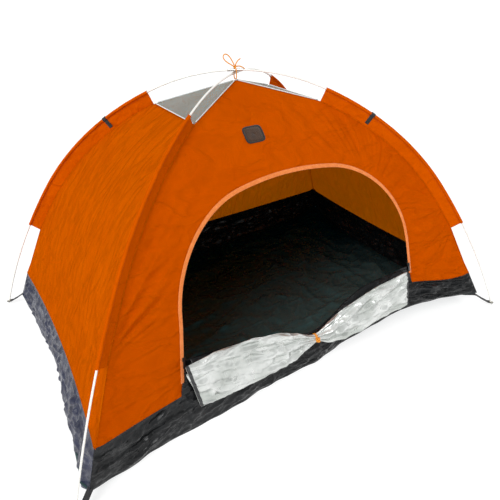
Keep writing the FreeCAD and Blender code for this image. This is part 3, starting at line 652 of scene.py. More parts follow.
def plastic_paint(name, dark, light, rough=0.45):
    paint = Paint(name, light, rough, specular=0.5)
    paint.tint(paint.noise(150.0, 4.0, 0.6), 0.3, 0.7, dark, light)
    paint.rough(paint.noise(90.0, 4.0, 0.6), 0.3, 0.7, rough * 0.8, rough * 1.3)
    paint.bump(paint.noise(900.0, 3.0, 0.6), 0.0002, 0.6)
    return paint.material


def braid_paint(name, dark, light):
    """Braided cord: two sets of slanting strands."""
    paint = Paint(name, light, 0.6, specular=0.15)
    strands = []
    for slant in (0.7, -0.7):
        spot = paint.spot((1, 1, 1), "Object", turn=slant)
        node = paint.add("ShaderNodeTexWave", Vector=spot, Scale=95.0, Distortion=0.6, Detail=1.0)
        node.bands_direction = "DIAGONAL"
        strands.append(node.outputs["Fac"])
    both = paint.maths("MULTIPLY", strands[0], strands[1])
    paint.tint(both, 0.05, 0.6, dark, light)
    paint.bump(both, 0.0006, 0.8)
    return paint.material


ORANGE_SHADES = [(0.60, 0.094, 0.0), (0.56, 0.083, 0.0), (0.64, 0.105, 0.0002)]
GLOW = (1.0, 0.56, 0.016)
# painted light: the back and side walls get a yellower copy of the front's orange, standing in for the
# light that falls on them
SIDE_LIT_SHADES = [(0.60, 0.108, 0.0), (0.56, 0.096, 0.0), (0.64, 0.120, 0.0002)]
ORANGE = canopy_paint("canopy_cloth", *SIDE_LIT_SHADES, GLOW, 0.38, (1.4, 0.40, 1.0), 0.34)
FRONT_ORANGE = canopy_paint("canopy_cloth_front", *ORANGE_SHADES, GLOW, 0.38, (0.40, 0.90, 1.0), 0.15)
# painted shade: the sleeves get a darker copy of the canopy orange, standing in for the shade along them
SLEEVE_SHADED_ORANGE = canopy_paint("sleeve_cloth", (0.57, 0.084, 0.0), (0.54, 0.077, 0.0),
                             (0.61, 0.094, 0.0002), (0.9, 0.30, 0.01), 0.12, (0.6, 0.6, 1.0), 0.10)
TUB_GREY = tub_paint("tub_cloth", (0.003, 0.0035, 0.004), (0.009, 0.010, 0.011), 0.9, 0.26)
# painted light: the left tub wall gets a lighter, bluer copy of the tub cloth, standing in for the light
# it reflects from the left
TUB_LIT_SIDE = tub_paint("tub_cloth_lit_side", (0.008, 0.010, 0.024), (0.024, 0.029, 0.062), 0.4, 0.4)
FLOOR_GREY = floor_paint()
SILVER = silver_paint()
NET = net_paint()
WHITE_TAPE = cloth_tape("piping_cloth", (0.62, 0.63, 0.61), (0.80, 0.81, 0.79))
BLACK_WEBBING = cloth_tape("webbing", (0.010, 0.010, 0.011), (0.028, 0.028, 0.030), 0.0018,
                           ribs=0.0026)
DOOR_TAPE = cloth_tape("door_tape", (0.70, 0.17, 0.02), (0.90, 0.27, 0.06), 0.0010)
DOOR_COIL = plastic_paint("door_coil", (0.75, 0.20, 0.05), (0.92, 0.34, 0.11), 0.4)
GREY_TAPE = cloth_tape("flap_tape", (0.015, 0.016, 0.017), (0.045, 0.047, 0.05), 0.0010)
ORANGE_THREAD = plastic_paint("canopy_thread", (0.42, 0.05, 0.002), (0.52, 0.07, 0.003), 0.6)
PALE_THREAD = plastic_paint("tape_thread", (0.85, 0.30, 0.10), (0.95, 0.42, 0.16), 0.6)
GLASS_FIBRE = fibreglass_paint()
FERRULE = metal_paint("ferrule_metal", (0.62, 0.61, 0.57), 0.30)
BRASS = metal_paint("grommet_metal", (0.66, 0.62, 0.52), 0.28)
NICKEL = metal_paint("zip_metal", (0.11, 0.11, 0.11), 0.34, wear=(0.30, 0.29, 0.28))
ELASTIC = braid_paint("elastic_cord", (0.35, 0.35, 0.34), (0.70, 0.70, 0.68))
TIP_PLASTIC = plastic_paint("end_tip", (0.30, 0.30, 0.29), (0.42, 0.42, 0.40), 0.4)
TIE_ORANGE = braid_paint("tie_cord", (0.62, 0.20, 0.015), (0.92, 0.42, 0.06))
BADGE_CLOTH = cloth_tape("badge_cloth", (0.036, 0.016, 0.007), (0.070, 0.030, 0.012), 0.0009)
BADGE_RIM = cloth_tape("badge_rim", (0.012, 0.009, 0.008), (0.026, 0.018, 0.014), 0.0007)


def wear(thing, paint, slot, body="tent", replaces=()):
    """Gives a piece its material, the body that it rides on and the CAD nodes it stands for."""
    thing.data.materials.clear()
    thing.data.materials.append(paint)
    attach(thing, body)
    if replaces:
        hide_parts(*replaces)


# ---------------------------------------------------------------- camera


def make_camera():
    azimuth, pitch, roll = math.radians(30.50), math.radians(30.91), -0.0305
    look = Vector((math.sin(azimuth) * math.cos(pitch), math.cos(azimuth) * math.cos(pitch),
                   -math.sin(pitch)))
    right = look.cross(Vector((0, 0, 1))).normalized()
    up = right.cross(look)
    side = right * math.cos(roll) + up * math.sin(roll)
    rise = up * math.cos(roll) - right * math.sin(roll)
    data = bpy.data.cameras.new("camera")
    data.sensor_width = 36
    data.lens = 34.21
    camera = link("camera", data)
    camera.matrix_world = Matrix.Translation((-0.9283, -1.6462, 1.4406)) @ Matrix(
        (side, rise, -look)).transposed().to_4x4()
    SCENE.camera = camera


make_camera()

# ---------------------------------------------------------------- cords at the crown

KNOT = Vector((0, 0, CROWN + CROSSING_GAP / 2 + 0.0045 + 0.007))
LOOP_ALONG = Vector((-0.591, 0.342, 0.731))
LOOP_ACROSS = Vector((-0.772, 0.022, -0.635))
LOOP_ROUTE = [(6, 2.6), (20, 7), (34, 10.5), (47, 11), (55.5, 7.8), (59, 0)]
LOOP_ROUTE += [(along, -across) for along, across in reversed(LOOP_ROUTE[:5])]
LONG_TAIL = [(5, -1, 1), (15, -3, 2), (26, -6, -2), (36, -9, -9), (42, -10, -18)]
SHORT_TAIL = [(1.5, -1, 5), (5, -3, 14.5), (12, -5, 23), (21, -7, 28)]
RISER = [(0, -4.5, -3.2), (0, -10.2, -12), (0, -9.5, -26), (0, -9.5, -38.8), (0, -3.9, -44.4)]
RISER += [(0, -y, z) for _, y, z in reversed(RISER)]


def cord_curve(name, points):
    curve = bpy.data.curves.new(name, "CURVE")
    curve.dimensions = "3D"
    curve.bevel_depth = CORD / 2
    curve.bevel_resolution = 4
    curve.use_fill_caps = True
    spline = curve.splines.new("NURBS")
    spline.points.add(len(points) - 1)
    for place, point in zip(spline.points, points):
        place.co = (*point, 1.0)
    spline.order_u = 3
    spline.use_endpoint_u = True
    spline.resolution_u = 8
    return link(name, curve)


def knot_mesh(name, centre, wide, tall, cord, lean=0.0):
    """A tight overhand knot."""
    turn = np.linspace(0, 2 * math.pi, 73)[:-1]
    x = (np.sin(turn) + 2 * np.sin(2 * turn)) / 3 * wide
    y = (np.cos(turn) - 2 * np.cos(2 * turn)) / 3 * wide
    z = -np.sin(3 * turn) * tall
    path = np.stack([x, y * math.cos(lean) - z * math.sin(lean),
                     z * math.cos(lean) + y * math.sin(lean)], axis=1) + np.array(centre)
    path = np.concatenate([path, path[:1]])
    sides, ups = path_frames(path)
    sides[-1], ups[-1] = sides[0], ups[0]
    return sweep(name, path, sides, ups, circle(cord, 10), close_ends=False)


def make_crown_tie():
    routes = {
        "loop": [KNOT + LOOP_ALONG * (along / 1000) + LOOP_ACROSS * (across / 1000)
                 for along, across in LOOP_ROUTE],
        "long_tail": [KNOT + Vector(step) / 1000 for step in LONG_TAIL],
        "short_tail": [KNOT + Vector(step) / 1000 for step in SHORT_TAIL],
        "riser": [KNOT + Vector(step) / 1000 for step in RISER],
    }
    for label, points in routes.items():
        cord = cord_curve(f"crown_cord_{label}", points)
        wear(cord, TIE_ORANGE, "tie_cord", "tent", [f"crown_tie_{label}"])
    knot = knot_mesh("crown_knot", KNOT, 0.0048, 0.0034, 0.0019, 0.3)
    wear(knot, TIE_ORANGE, "tie_cord", "tent", ["crown_tie_knot"])


make_crown_tie()

# ---------------------------------------------------------------- the doorway's outline


def door_edge(grow, step):
    """The doorway's outline from the left foot over the top to the right foot, as (x, z)."""
    foot, knee = np.array([SILL_HALF, SILL]), np.array([KNEE_HALF, KNEE])
    side = (knee - foot) / np.linalg.norm(knee - foot)
    inner = np.array([-side[1], side[0]])
    centre = knee + inner * SHOULDER_RADIUS
    above = DOOR_TOP - centre[1]
    top = (centre[0] ** 2 + above ** 2 - SHOULDER_RADIUS ** 2) / (2 * (above - SHOULDER_RADIUS))
    top_centre = np.array([0, DOOR_TOP - top])
    spoke = (centre - top_centre) / np.linalg.norm(centre - top_centre)
    knee_out = knee - inner * grow
    foot_out = knee_out + side * ((SILL - knee_out[1]) / side[1])
    first = math.atan2(*(knee_out - centre)[::-1])
    last = math.atan2(*spoke[::-1])
    rise = np.linspace(0, 1, int(np.linalg.norm(knee_out - foot_out) / step) + 2)
    straight = foot_out + rise[:, None] * (knee_out - foot_out)
    bend = np.linspace(first, last, int(SHOULDER_RADIUS * (last - first) / step) + 2)[1:]
    radius = SHOULDER_RADIUS + grow
    shoulder = centre + radius * np.stack([np.cos(bend), np.sin(bend)], axis=1)
    crown = np.linspace(last, math.pi / 2, int(top * (math.pi / 2 - last) / step) + 2)[1:]
    arch = top_centre + (top + grow) * np.stack([np.cos(crown), np.sin(crown)], axis=1)
    right = np.concatenate([straight, shoulder, arch])
    left = right[:-1] * np.array([-1, 1])
    return np.concatenate([left, right[::-1]])


DOOR = door_edge(0, 0.002)


def from_door(x, z):
    """How far outside the doorway a point of the front wall is, roughly, in metres."""
    angle = np.arctan2(z - SILL, x)
    ring = np.arctan2(DOOR[:, 1] - SILL, DOOR[:, 0])
    order = np.argsort(ring)
    edge = np.interp(angle, ring[order], np.hypot(DOOR[:, 0], DOOR[:, 1] - SILL)[order])
    below = np.hypot(np.maximum(np.abs(x) - SILL_HALF, 0), SILL - z)
    return np.where(z > SILL, np.hypot(x, z - SILL) - edge, below)


# ---------------------------------------------------------------- creases of each wall


def front_creases(x, z):
    """How far the front wall's cloth stands out of its smooth shape."""
    far = 0.0032 * ripple(x / 0.34, z / 0.24, 3)
    fine = 0.0011 * ripple(x / 0.055, z / 0.20, 4) + 0.0007 * folds(x / 0.16, z / 0.16, 5)
    left = fan(x, z, (-0.84, 0.40), 13, 0.50, 6) * (0.0020 + 0.0110 * smooth(z, 0.40, 0.50))
    foot = 0.0040 * ridges(x / 0.30 + z, z / 0.07, 7)
    foot = foot * smooth(x, -0.75, -0.60) * (1 - smooth(z, 0.5, 0.7))
    shoulder = fan(x, z, (0.36, 0.66), 9, 0.40, 8) * 0.0085
    seam = fan(x, z, (0.83, 0.50), 13, 0.36, 9) * 0.0075
    crown = fan(x, z, (0.02, 1.05), 12, 0.30, 10) * 0.0035
    level_x, level_z = turned(x, z, 12)
    level = 0.0075 * (ridges(level_x / 0.32, level_z / 0.045, 12) - 0.3)
    level = level * smooth(x, -0.36, -0.50) * smooth(z, 0.44, 0.58) * (1 - smooth(z, 0.72, 0.84))
    turned_x, turned_z = turned(x, z, -18)
    waves = 0.0026 * ripple(turned_x / 0.30, turned_z / 0.045, 11) * smooth(x, 0.45, 0.7)
    return far + fine + left + foot + level + shoulder + seam + crown + waves


def left_creases(y, z):
    broad = 0.0045 * ripple(y / 0.30, z / 0.30, 23)
    low = 1 - smooth(z, 0.35, 0.72)
    streaks = 0.0052 * (ridges(y / 0.038 + z * 1.5, z / 0.26, 24, 1.7) - 0.4) * (0.3 + 0.7 * low)
    y1, z1 = turned(y, z, 32)
    slant = 0.0030 * ripple(y1 / 0.060, z1 / 0.34, 25) * smooth(z, 0.42, 0.80)
    y2, z2 = turned(y, z, -36)
    other = 0.0024 * ripple(y2 / 0.070, z2 / 0.30, 26) * smooth(z, 0.3, 0.6)
    hem = fan(y, z, (-0.42, 0.20), 15, 0.34, 27) * 0.006 + fan(y, z, (0.30, 0.20), 13, 0.3, 28) * 0.005
    return broad + streaks + slant + other + hem + 0.0010 * folds(y / 0.12, z / 0.12, 29)


def right_creases(y, z):
    broad = 0.0045 * ripple(y / 0.28, z / 0.32, 33)
    streaks = 0.0046 * (ridges(y / 0.046, z / 0.30, 34, 1.7) - 0.4) * (1 - smooth(z, 0.4, 0.8))
    hem = fan(y, z, (0.38, 0.20), 15, 0.34, 35) * 0.006 + fan(y, z, (-0.44, 0.42), 13, 0.3, 36) * 0.005
    return broad + streaks + hem + 0.0010 * folds(y / 0.12, z / 0.12, 37)


def back_creases(x, z):
    broad = 0.0050 * ripple(x / 0.34, z / 0.28, 43)
    streaks = 0.0046 * (ridges(x / 0.050, z / 0.30, 44, 1.7) - 0.4) * (1 - smooth(z, 0.35, 0.75))
    hang = fan(x, z, (0.0, 1.05), 12, 0.45, 45) * 0.006
    ends = fan(x, z, (0.80, 0.44), 14, 0.4, 46) * 0.006 + fan(x, z, (-0.80, 0.44), 14, 0.4, 47) * 0.006
    return broad + streaks + hang + ends + 0.0012 * folds(x / 0.14, z / 0.14, 48)


CREASES = {"front": front_creases, "left": left_creases, "right": right_creases,
           "back": back_creases}


def wall_normal(side, share, height):
    """The outward direction of a wall's smooth surface."""
    step = 0.002
    across = wall(side, share + step, height) - wall(side, share - step, height)
    rise = wall(side, share, height + 0.001) - wall(side, share, height - 0.001)
    normal = np.cross(across, rise)
    length = np.linalg.norm(normal, axis=-1, keepdims=True)
    normal = np.where(length > 1e-12, normal / np.maximum(length, 1e-12), UP)
    facing = WALLS[side][0] + UP * 0.2
    return normal * np.sign(normal @ facing)[..., None]


def creased(side, share, height):
    """A wall's grid of points with its creases, calm along the seams, and its uv in metres."""
    points = wall(side, share, height)
    _, along, _ = WALLS[side]
    sideways = share * along * seam_out(height) / HALF_DIAGONAL
    from_seam = (1 - np.abs(share)) * along * seam_out(height) / HALF_DIAGONAL
    calm = smooth(from_seam, 0.0, 0.045) * smooth(height, TUB, TUB + 0.03)
    calm = calm * (0.15 + 0.85 * smooth(VENT - height, 0.0, 0.04))
    if side == "front":
        calm = smooth(from_seam, 0.0, 0.045) * (0.25 + 0.75 * smooth(height, TUB, TUB + 0.05))
        calm = calm * smooth(from_door(sideways, height), 0.014, 0.075)
    out = CREASES[side](sideways, height) * calm
    normal = wall_normal(side, share, height)
    uv = np.stack([sideways, height * WALL_SLOPE], axis=-1)
    points = points + normal * out[..., None] + corner_round(side, share, height)[..., None] * UP
    return hitched(points) if side == "front" else points, uv


def make_front():
    """The front panel: a ring of cloth round the doorway, and the strip below it."""
    turns = np.linspace(0, math.pi, 361)
    heights = np.linspace(SILL, APEX, 900)
    outs = HALF_LENGTH * seam_out(heights) / HALF_DIAGONAL
    seam_turn = np.arctan2(heights - SILL, outs)
    seam_far = np.hypot(outs, heights - SILL)
    mirror = np.where(turns <= math.pi / 2, turns, math.pi - turns)
    outer = np.interp(mirror, seam_turn, seam_far)
    ring = np.arctan2(DOOR[:, 1] - SILL, DOOR[:, 0])
    order = np.argsort(ring)
    inner = np.interp(turns, ring[order], np.hypot(DOOR[:, 0], DOOR[:, 1] - SILL)[order])
    share = np.linspace(0, 1, 62)[:, None]
    far = inner + (outer - inner) * share
    x, z = far * np.cos(turns), SILL + far * np.sin(turns)
    reach = np.maximum(HALF_LENGTH * seam_out(z) / HALF_DIAGONAL, 1e-6)
    ring_points, ring_uv = creased("front", np.clip(x / reach, -1, 1), z)
    sides = x[:, 0]
    middle = np.linspace(-SILL_HALF, SILL_HALF, 150)[1:-1]
    line = np.concatenate([-sides[::-1], middle, sides])
    rows = np.linspace(TUB - HEM_OVERLAP, SILL, 9)[:, None]
    low_reach = HALF_LENGTH * seam_out(rows) / HALF_DIAGONAL
    stretch = line / (HALF_LENGTH * seam_out(SILL) / HALF_DIAGONAL)
    strip_x = stretch * low_reach
    strip_share, strip_z = np.broadcast_arrays(strip_x / low_reach, rows)
    strip_points, strip_uv = creased("front", strip_share, strip_z)
    hem = (1 - smooth(strip_z, TUB - HEM_OVERLAP, TUB + HEM_OVERLAP)) * HEM_STANDOFF
    strip_points = strip_points + hem[..., None] * WALLS["front"][0]
    cuts = [0, len(sides), len(sides) + len(middle), len(line)]
    parts = [(strip_points[:, a:b], strip_uv[:, a:b])
             for a, b in ((cuts[0], cuts[1]), (cuts[1] - 1, cuts[2] + 1), (cuts[2], cuts[3]))]
    ring_part = (ring_points[:, ::-1], ring_uv[:, ::-1])
    panel = surface("canopy_panel_front", [ring_part, parts[0], parts[2]], thickness=CLOTH, lift=-1)
    sill = surface("door_sill_band", [parts[1]], thickness=CLOTH, lift=-1)
    wear(sill, TUB_GREY, "canopy_cloth")
    # The band slopes, and is cut a little longer where it is drawn up and let down.
    wear(panel, FRONT_ORANGE, "canopy_cloth", "tent", ["canopy_front"])


def make_wall(side, step):
    """A plain canopy wall, from the tub's top to the vents or, at the back, to the apex."""
    _, along, _ = WALLS[side]
    top = APEX - 0.0005 if side == "back" else VENT
    columns = int(2 * along * TUB_CORNER / HALF_DIAGONAL / step)
    low = TUB - HEM_OVERLAP
    heights = np.linspace(low, VENT, int(1.25 * (VENT - low) / step))
    if side == "back":
        heights = np.concatenate([heights, np.linspace(VENT, top, 40)[1:]])
    share, height = np.broadcast_arrays(np.linspace(-1, 1, columns)[None, :], heights[:, None])
    points, uv = creased(side, share, height)
    hem = (1 - smooth(height, low, TUB + HEM_OVERLAP)) * HEM_STANDOFF
    points = points + hem[..., None] * WALLS[side][0]
    panel = surface(f"canopy_panel_{side}", [(points, uv)], thickness=CLOTH, lift=-1)
    wear(panel, ORANGE, "canopy_cloth", "tent", [f"canopy_{side}"])


# ---------------------------------------------------------------- vents


def make_vent(side):
    """A triangle of net, sagging a little inside its piping."""
    facing, along, away = WALLS[side]
    run = np.cross(UP, facing)
    reach = seam_out(VENT) / HALF_DIAGONAL
    up, across = np.broadcast_arrays(np.linspace(0, 0.985, 40)[:, None], np.linspace(-1, 1, 61)[None])
    size = (1 - up) * reach
    sag = 0.006 * (1 - across ** 2) * up * (1 - up) * 4
    points = (across * along * size)[..., None] * run + (away * size)[..., None] * facing
    points = points + (VENT + (APEX - VENT) * up - sag)[..., None] * UP
    uv = np.stack([across * along * size, up * away * reach], axis=-1)
    net = surface(f"vent_net_{side}", [(points, uv)])
    wear(net, NET, "mosquito_mesh", "tent", [f"vent_mesh_{side}"])


# ---------------------------------------------------------------- tub and floor


def ground_line(side, share):
    """The tub's foot: bowed in along the ground, lifted and drawn out at both corners."""
    facing, along, away = WALLS[side]
    run = np.cross(UP, facing)
    full = GROUND_CORNER / HALF_DIAGONAL
    near = np.exp(-((1 - np.abs(share)) * along / 0.075) ** 1.5)
    out = away * full - PULL[side][2] * (1 - share * share)
    inside = smooth(1 - np.abs(share), 0.0, 0.10)
    if side == "front":
        out = out + 0.024 * smooth(share, -0.72, -0.45) * (1 - smooth(share, 0.02, 0.22))
        out = out - 0.014 * smooth(share, -0.60, -0.78) * inside
    if side == "left":
        out = out + 0.024 * smooth(share, -0.1, 0.45) * inside
    out = out + 0.0055 * ripple(share * along / 0.075, share * 0 + 0.5, len(side)) * inside
    point = (share * along * full)[..., None] * run + out[..., None] * facing
    return point * (1 + 0.004 * near)[..., None]


def foot_lift(side, share):
    """How far the tub's foot is off the ground: at the corners, and along part of the door side."""
    _, along, _ = WALLS[side]
    lift = 0.052 * np.exp(-((1 - np.abs(share)) * along / 0.075) ** 1.5)
    if side == "front":
        lift = np.maximum(lift, foot_hitch(share * along * GROUND_CORNER / HALF_DIAGONAL))
    return lift


def make_tub(side, step=0.0045):
    _, along, _ = WALLS[side]
    columns = int(2 * along / step)
    share, rise = np.broadcast_arrays(np.linspace(-1, 1, columns)[None], np.linspace(0, 1, 44)[:, None])
    low, top = ground_line(side, share), wall(side, share, np.full(share.shape, TUB + 0.002))
    low = low + foot_lift(side, share)[..., None] * UP
    top = top + corner_round(side, share, np.full(share.shape, TUB))[..., None] * UP
    if side == "front":
        top = hitched(top)
    points = low + (top - low) * rise[..., None]
    sideways, tall = share * along, rise * 0.19
    seed = {"front": 60, "left": 70, "back": 80, "right": 90}[side]
    belly = 0.008 * np.sin(math.pi * rise) * (1 - np.abs(share) ** 6)
    s1, t1 = turned(sideways, tall, 9 if side == "front" else -7)
    lengthwise = 0.0105 * (ridges(s1 / 0.26, t1 / 0.050, seed) - 0.35)
    slanting = 0.0040 * (ridges(s1 / 0.13 + t1 * 4, t1 / 0.042, seed + 3) - 0.35)
    crumple = 0.0026 * folds(sideways / 0.075, tall / 0.060, seed + 1)
    upright = 0.0060 * (ridges(sideways / 0.050, tall / 0.22, seed + 2) - 0.35)
    if side == "front":
        upright = upright * 0.5
        lengthwise = lengthwise * (1 + 0.35 * smooth(share, 0.25, 0.6))
    else:
        lengthwise = lengthwise * 0.6
        upright = 0.0095 * (ridges(sideways / 0.085, tall / 0.30, seed + 2) - 0.35)
    calm = smooth(rise, 0.955, 0.80) * smooth(rise, 0.0, 0.14)
    calm = calm * smooth(1 - np.abs(share), 0.0, 0.03)
    out = (belly + lengthwise + slanting + crumple + upright) * calm
    points = points + out[..., None] * (WALLS[side][0] + UP * 0.15)
    uv = np.stack([sideways, rise * 0.195], axis=-1)
    strip = surface(f"tub_side_{side}", [(points, uv)], thickness=0.0009, lift=-1)
    # painted light: the left wall takes the lighter, bluer copy of the tub cloth
    wear(strip, TUB_LIT_SIDE if side == "left" else TUB_GREY, "tub_cloth", "tent", [f"tub_wall_{side}"])


def make_floor():
    """The ground sheet, blended between the four lines of the tub's foot."""
    u, v = np.broadcast_arrays(np.linspace(-1, 1, 320)[None], np.linspace(-1, 1, 220)[:, None])
    front, back = ground_line("front", u), ground_line("back", -u)
    right, left = ground_line("right", v), ground_line("left", -v)
    s, t = (u + 1) / 2, (v + 1) / 2
    one = np.array([1.0])
    corner = {(a, b): ground_line("front" if b < 0 else "back", (one * a if b < 0 else -one * a))[0]
              for a in (-1, 1) for b in (-1, 1)}
    points = (front * (1 - t)[..., None] + back * t[..., None]
              + left * (1 - s)[..., None] + right * s[..., None])
    for (a, b), place in corner.items():
        share = (s if a > 0 else 1 - s) * (t if b > 0 else 1 - t)
        points = points - share[..., None] * place
    x, y = points[..., 0], points[..., 1]
    edge = np.minimum(1 - np.abs(u), (1 - np.abs(v)) * 0.66)
    x1, y1 = turned(x, y, 24)
    height = 0.0130 * ridges(x1 / 0.30, y1 / 0.17, 100) + 0.0080 * ridges(x1 / 0.12, y1 / 0.20, 103)
    height = height + 0.0050 * ridges(x / 0.20, y / 0.07, 104, 4.0)
    lift = 0
    for side, line, far in (("front", u, (1 + v) * HALF_WIDTH), ("back", -u, (1 - v) * HALF_WIDTH),
                            ("right", v, (1 - u) * HALF_LENGTH), ("left", -v, (1 + u) * HALF_LENGTH)):
        fade = np.exp(-(far / (0.20 if side == "front" else 0.07)) ** 2)
        lift = np.maximum(lift, foot_lift(side, line) * fade)
    points[..., 2] = lift + 0.0012 + height * smooth(edge, 0.0, 0.06)
    uv = np.stack([x, y], axis=-1)
    floor = surface("ground_cloth", [(points, uv)], thickness=0.0009, lift=-1)
    wear(floor, FLOOR_GREY, "ground_sheet", "tent", ["floor_sheet"])


# ---------------------------------------------------------------- sleeves, loops and corner seams


def pole_frames(corner, distances):
    """Places on a pole's centreline with the directions across it and out of its bend."""
    turn, lift = CORNERS[corner]
    radial = np.array([math.cos(turn), math.sin(turn), 0])
    side = np.array([-math.sin(turn), math.cos(turn), 0])
    places, outs = [], []
    for along in distances:
        out, up, angle = bow_point(along, lift)
        places.append(radial * out + UP * up)
        outs.append(radial * math.sin(angle) + UP * math.cos(angle))
    return np.array(places), np.tile(side, (len(places), 1)), np.array(outs)


def sleeve_section():
    """The folded sleeve in section, as (across, out): up one face, round the pole, down the other."""
    radius = 0.0059
    fin = np.linspace(-SLEEVE_FIN - 0.005, -radius - 0.002, 12)
    bend = np.linspace(math.radians(-74), math.radians(254), 23)
    tube = np.stack([radius * np.cos(bend), radius * np.sin(bend)], axis=1)
    right = np.stack([np.full(12, 0.0006), fin], axis=1)
    left = np.stack([np.full(12, -0.0006), fin[::-1]], axis=1)
    return np.concatenate([right, tube, left])


def make_sleeve(corner, seed):
    count = 230
    distances = np.linspace(SLEEVE_START, SLEEVE_END, count)
    places, sides, outs = pole_frames(corner, distances)
    section = np.tile(sleeve_section(), (count, 1, 1))
    depth = -section[..., 1]
    along = distances[:, None]
    middle = smooth(depth, 0.006, 0.020) * (1 - smooth(depth, 0.032, 0.045))
    wave = 0.0022 * ripple(along / 0.045, depth / 0.03, seed)
    wave = wave + 0.001 * ripple(along / 0.018, depth / 0.02, seed + 1)
    section[..., 0] += wave * middle
    slack = 0.0004 * ripple(along / 0.03, section[..., 0] / 0.006, seed + 2)
    round_tube = depth < 0.0062
    length = np.linalg.norm(section, axis=-1)
    push = np.where(round_tube, 1 + slack / np.maximum(length, 0.004), 1.0)
    section = section * push[..., None]
    points = places[:, None] + section[..., :1] * sides[:, None] + section[..., 1:] * outs[:, None]
    run = run_along(sleeve_section())
    uv = np.stack(np.broadcast_arrays(run[None, :], distances[:, None]), axis=-1)
    sleeve = surface(f"sleeve_cloth_{corner}", [(points, uv)], thickness=0.0005, lift=0)
    wear(sleeve, SLEEVE_SHADED_ORANGE, "sleeve_cloth", "tent", [f"sleeve_{corner}"])
    rows = []
    for face in (-1, 1):
        line = places - outs * 0.0092 + sides * (face * 0.0010)
        rows.append(stitches(f"sleeve_row_{face}", line, sides * face))
    thread = join(f"sleeve_stitches_{corner}", rows)
    wear(thread, ORANGE_THREAD, "sleeve_cloth")


def make_loops():
    """Webbing round both sleeves of the upper pole, sewn down both faces of the fin."""
    strips = []
    for corner in ("front_right", "back_left"):
        distances = LOOP_PLACE + np.linspace(-LOOP_WIDTH / 2, LOOP_WIDTH / 2, 9)
        places, sides, outs = pole_frames(corner, distances)
        radius = 0.0078
        fin = np.linspace(-SLEEVE_FIN + 0.006, -radius - 0.002, 9)
        bend = np.linspace(math.radians(-70), math.radians(250), 22)
        tube = np.stack([radius * np.cos(bend), radius * np.sin(bend)], axis=1)
        right = np.stack([0.0032 - 0.0008 * smooth(fin, -0.02, -0.04), fin], axis=1)
        left = np.stack([-right[::-1, 0], fin[::-1]], axis=1)
        section = np.concatenate([right, tube, left])
        points = (places[:, None] + section[None, :, :1] * sides[:, None]
                  + section[None, :, 1:] * outs[:, None])
        run = run_along(section)
        uv = np.stack(np.broadcast_arrays((distances - LOOP_PLACE)[:, None], run[None]), axis=-1)
        strips.append(surface(f"loop_{corner}", [(points, uv)], thickness=0.0011, lift=0))
    for strip in strips:
        wear(strip, BLACK_WEBBING, "webbing")
    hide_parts("sleeve_loops")


def make_corner_seams():
    """The rib where two canopy walls are sewn together, from the vents down to the tub."""
    for corner, (turn, _) in CORNERS.items():
        radial = np.array([math.cos(turn), math.sin(turn), 0])
        side = np.array([-math.sin(turn), math.cos(turn), 0])
        heights = np.linspace(VENT - 0.002, TUB - 0.004, 260)
        path = radial * seam_out(heights)[:, None] + heights[:, None] * UP
        along = np.gradient(path, axis=0)
        outs = np.cross(side, along)
        outs /= np.linalg.norm(outs, axis=1, keepdims=True)
        outs *= np.sign(outs @ radial)[:, None]
        half, tall = 0.0030, 0.0010
        section = np.array([(-half, -tall), (-half * 0.8, tall * 0.4), (-half * 0.35, tall * 0.9),
                            (half * 0.35, tall * 0.9), (half * 0.8, tall * 0.4), (half, -tall)])
        rib = sweep(f"corner_seam_{corner}", path, np.tile(side, (len(path), 1)), outs, section)
        wear(rib, ORANGE, "canopy_cloth")


# ---------------------------------------------------------------- corner tabs

TAB_LIFT = 0.014


def tab_frame(corner):
    """The grommet's place, and the directions out along the tab, across it and off its face."""
    turn, lift = CORNERS[corner]
    whole = sum(radius * (end - start) for _, _, radius, start, end in bow(lift))
    out, up, angle = bow_point(whole - 1e-9, lift)
    out = out - (TAB_LIFT - up) / math.tan(angle)
    slope = math.radians(10)
    radial = np.array([math.cos(turn), math.sin(turn), 0])
    side = np.array([-math.sin(turn), math.cos(turn), 0])
    along = radial * math.cos(slope) - UP * math.sin(slope)
    off = radial * math.sin(slope) + UP * math.cos(slope)
    return radial * out + UP * TAB_LIFT, along, side, off


def make_tab(corner):
    """Webbing from the tub's lifted corner to the grommet, its end rounded and its hole bound."""
    place, along, side, off = tab_frame(corner)
    half, hole = 0.011, 0.0067
    turns = np.linspace(0, 2 * math.pi, 49)[:-1]
    reach = []
    for turn in turns:
        c, s = math.cos(turn), math.sin(turn)
        reach.append(half if c >= 0 else min(half / max(abs(s), 1e-6), 0.018 / max(-c, 1e-6)))
    share = np.linspace(0, 1, 6)[:, None]
    far = hole + (np.array(reach) - hole) * share
    x, y = far * np.cos(turns), far * np.sin(turns)
    eye = place + x[..., None] * along + y[..., None] * side + 0.0008 * off
    eye_uv = np.stack([y, x], axis=-1)
    eye_part = surface(f"tab_eye_{corner}", [(eye, eye_uv)], closed=True, thickness=0.0015, lift=0)
    run = np.linspace(0.018, 0.092, 26)[:, None]
    wide = np.linspace(-half, half, 9)[None]
    bend = 0.030 * (run - 0.018) / 0.074
    curl = 0.0008 * np.sin(run / 0.011) * smooth(run, 0.02, 0.05)
    x, y = np.broadcast_arrays(-run, wide)
    strip = (place + x[..., None] * along + y[..., None] * side
             + (0.0008 + bend + curl)[..., None] * off)
    strip_uv = np.stack([y, x], axis=-1)
    strip_part = surface(f"tab_strip_{corner}", [(strip, strip_uv)], thickness=0.0015, lift=0)
    wear(eye_part, BLACK_WEBBING, "webbing", "tent", [f"corner_tab_{corner}"])
    wear(strip_part, BLACK_WEBBING, "webbing")


# ---------------------------------------------------------------- zip round the doorway


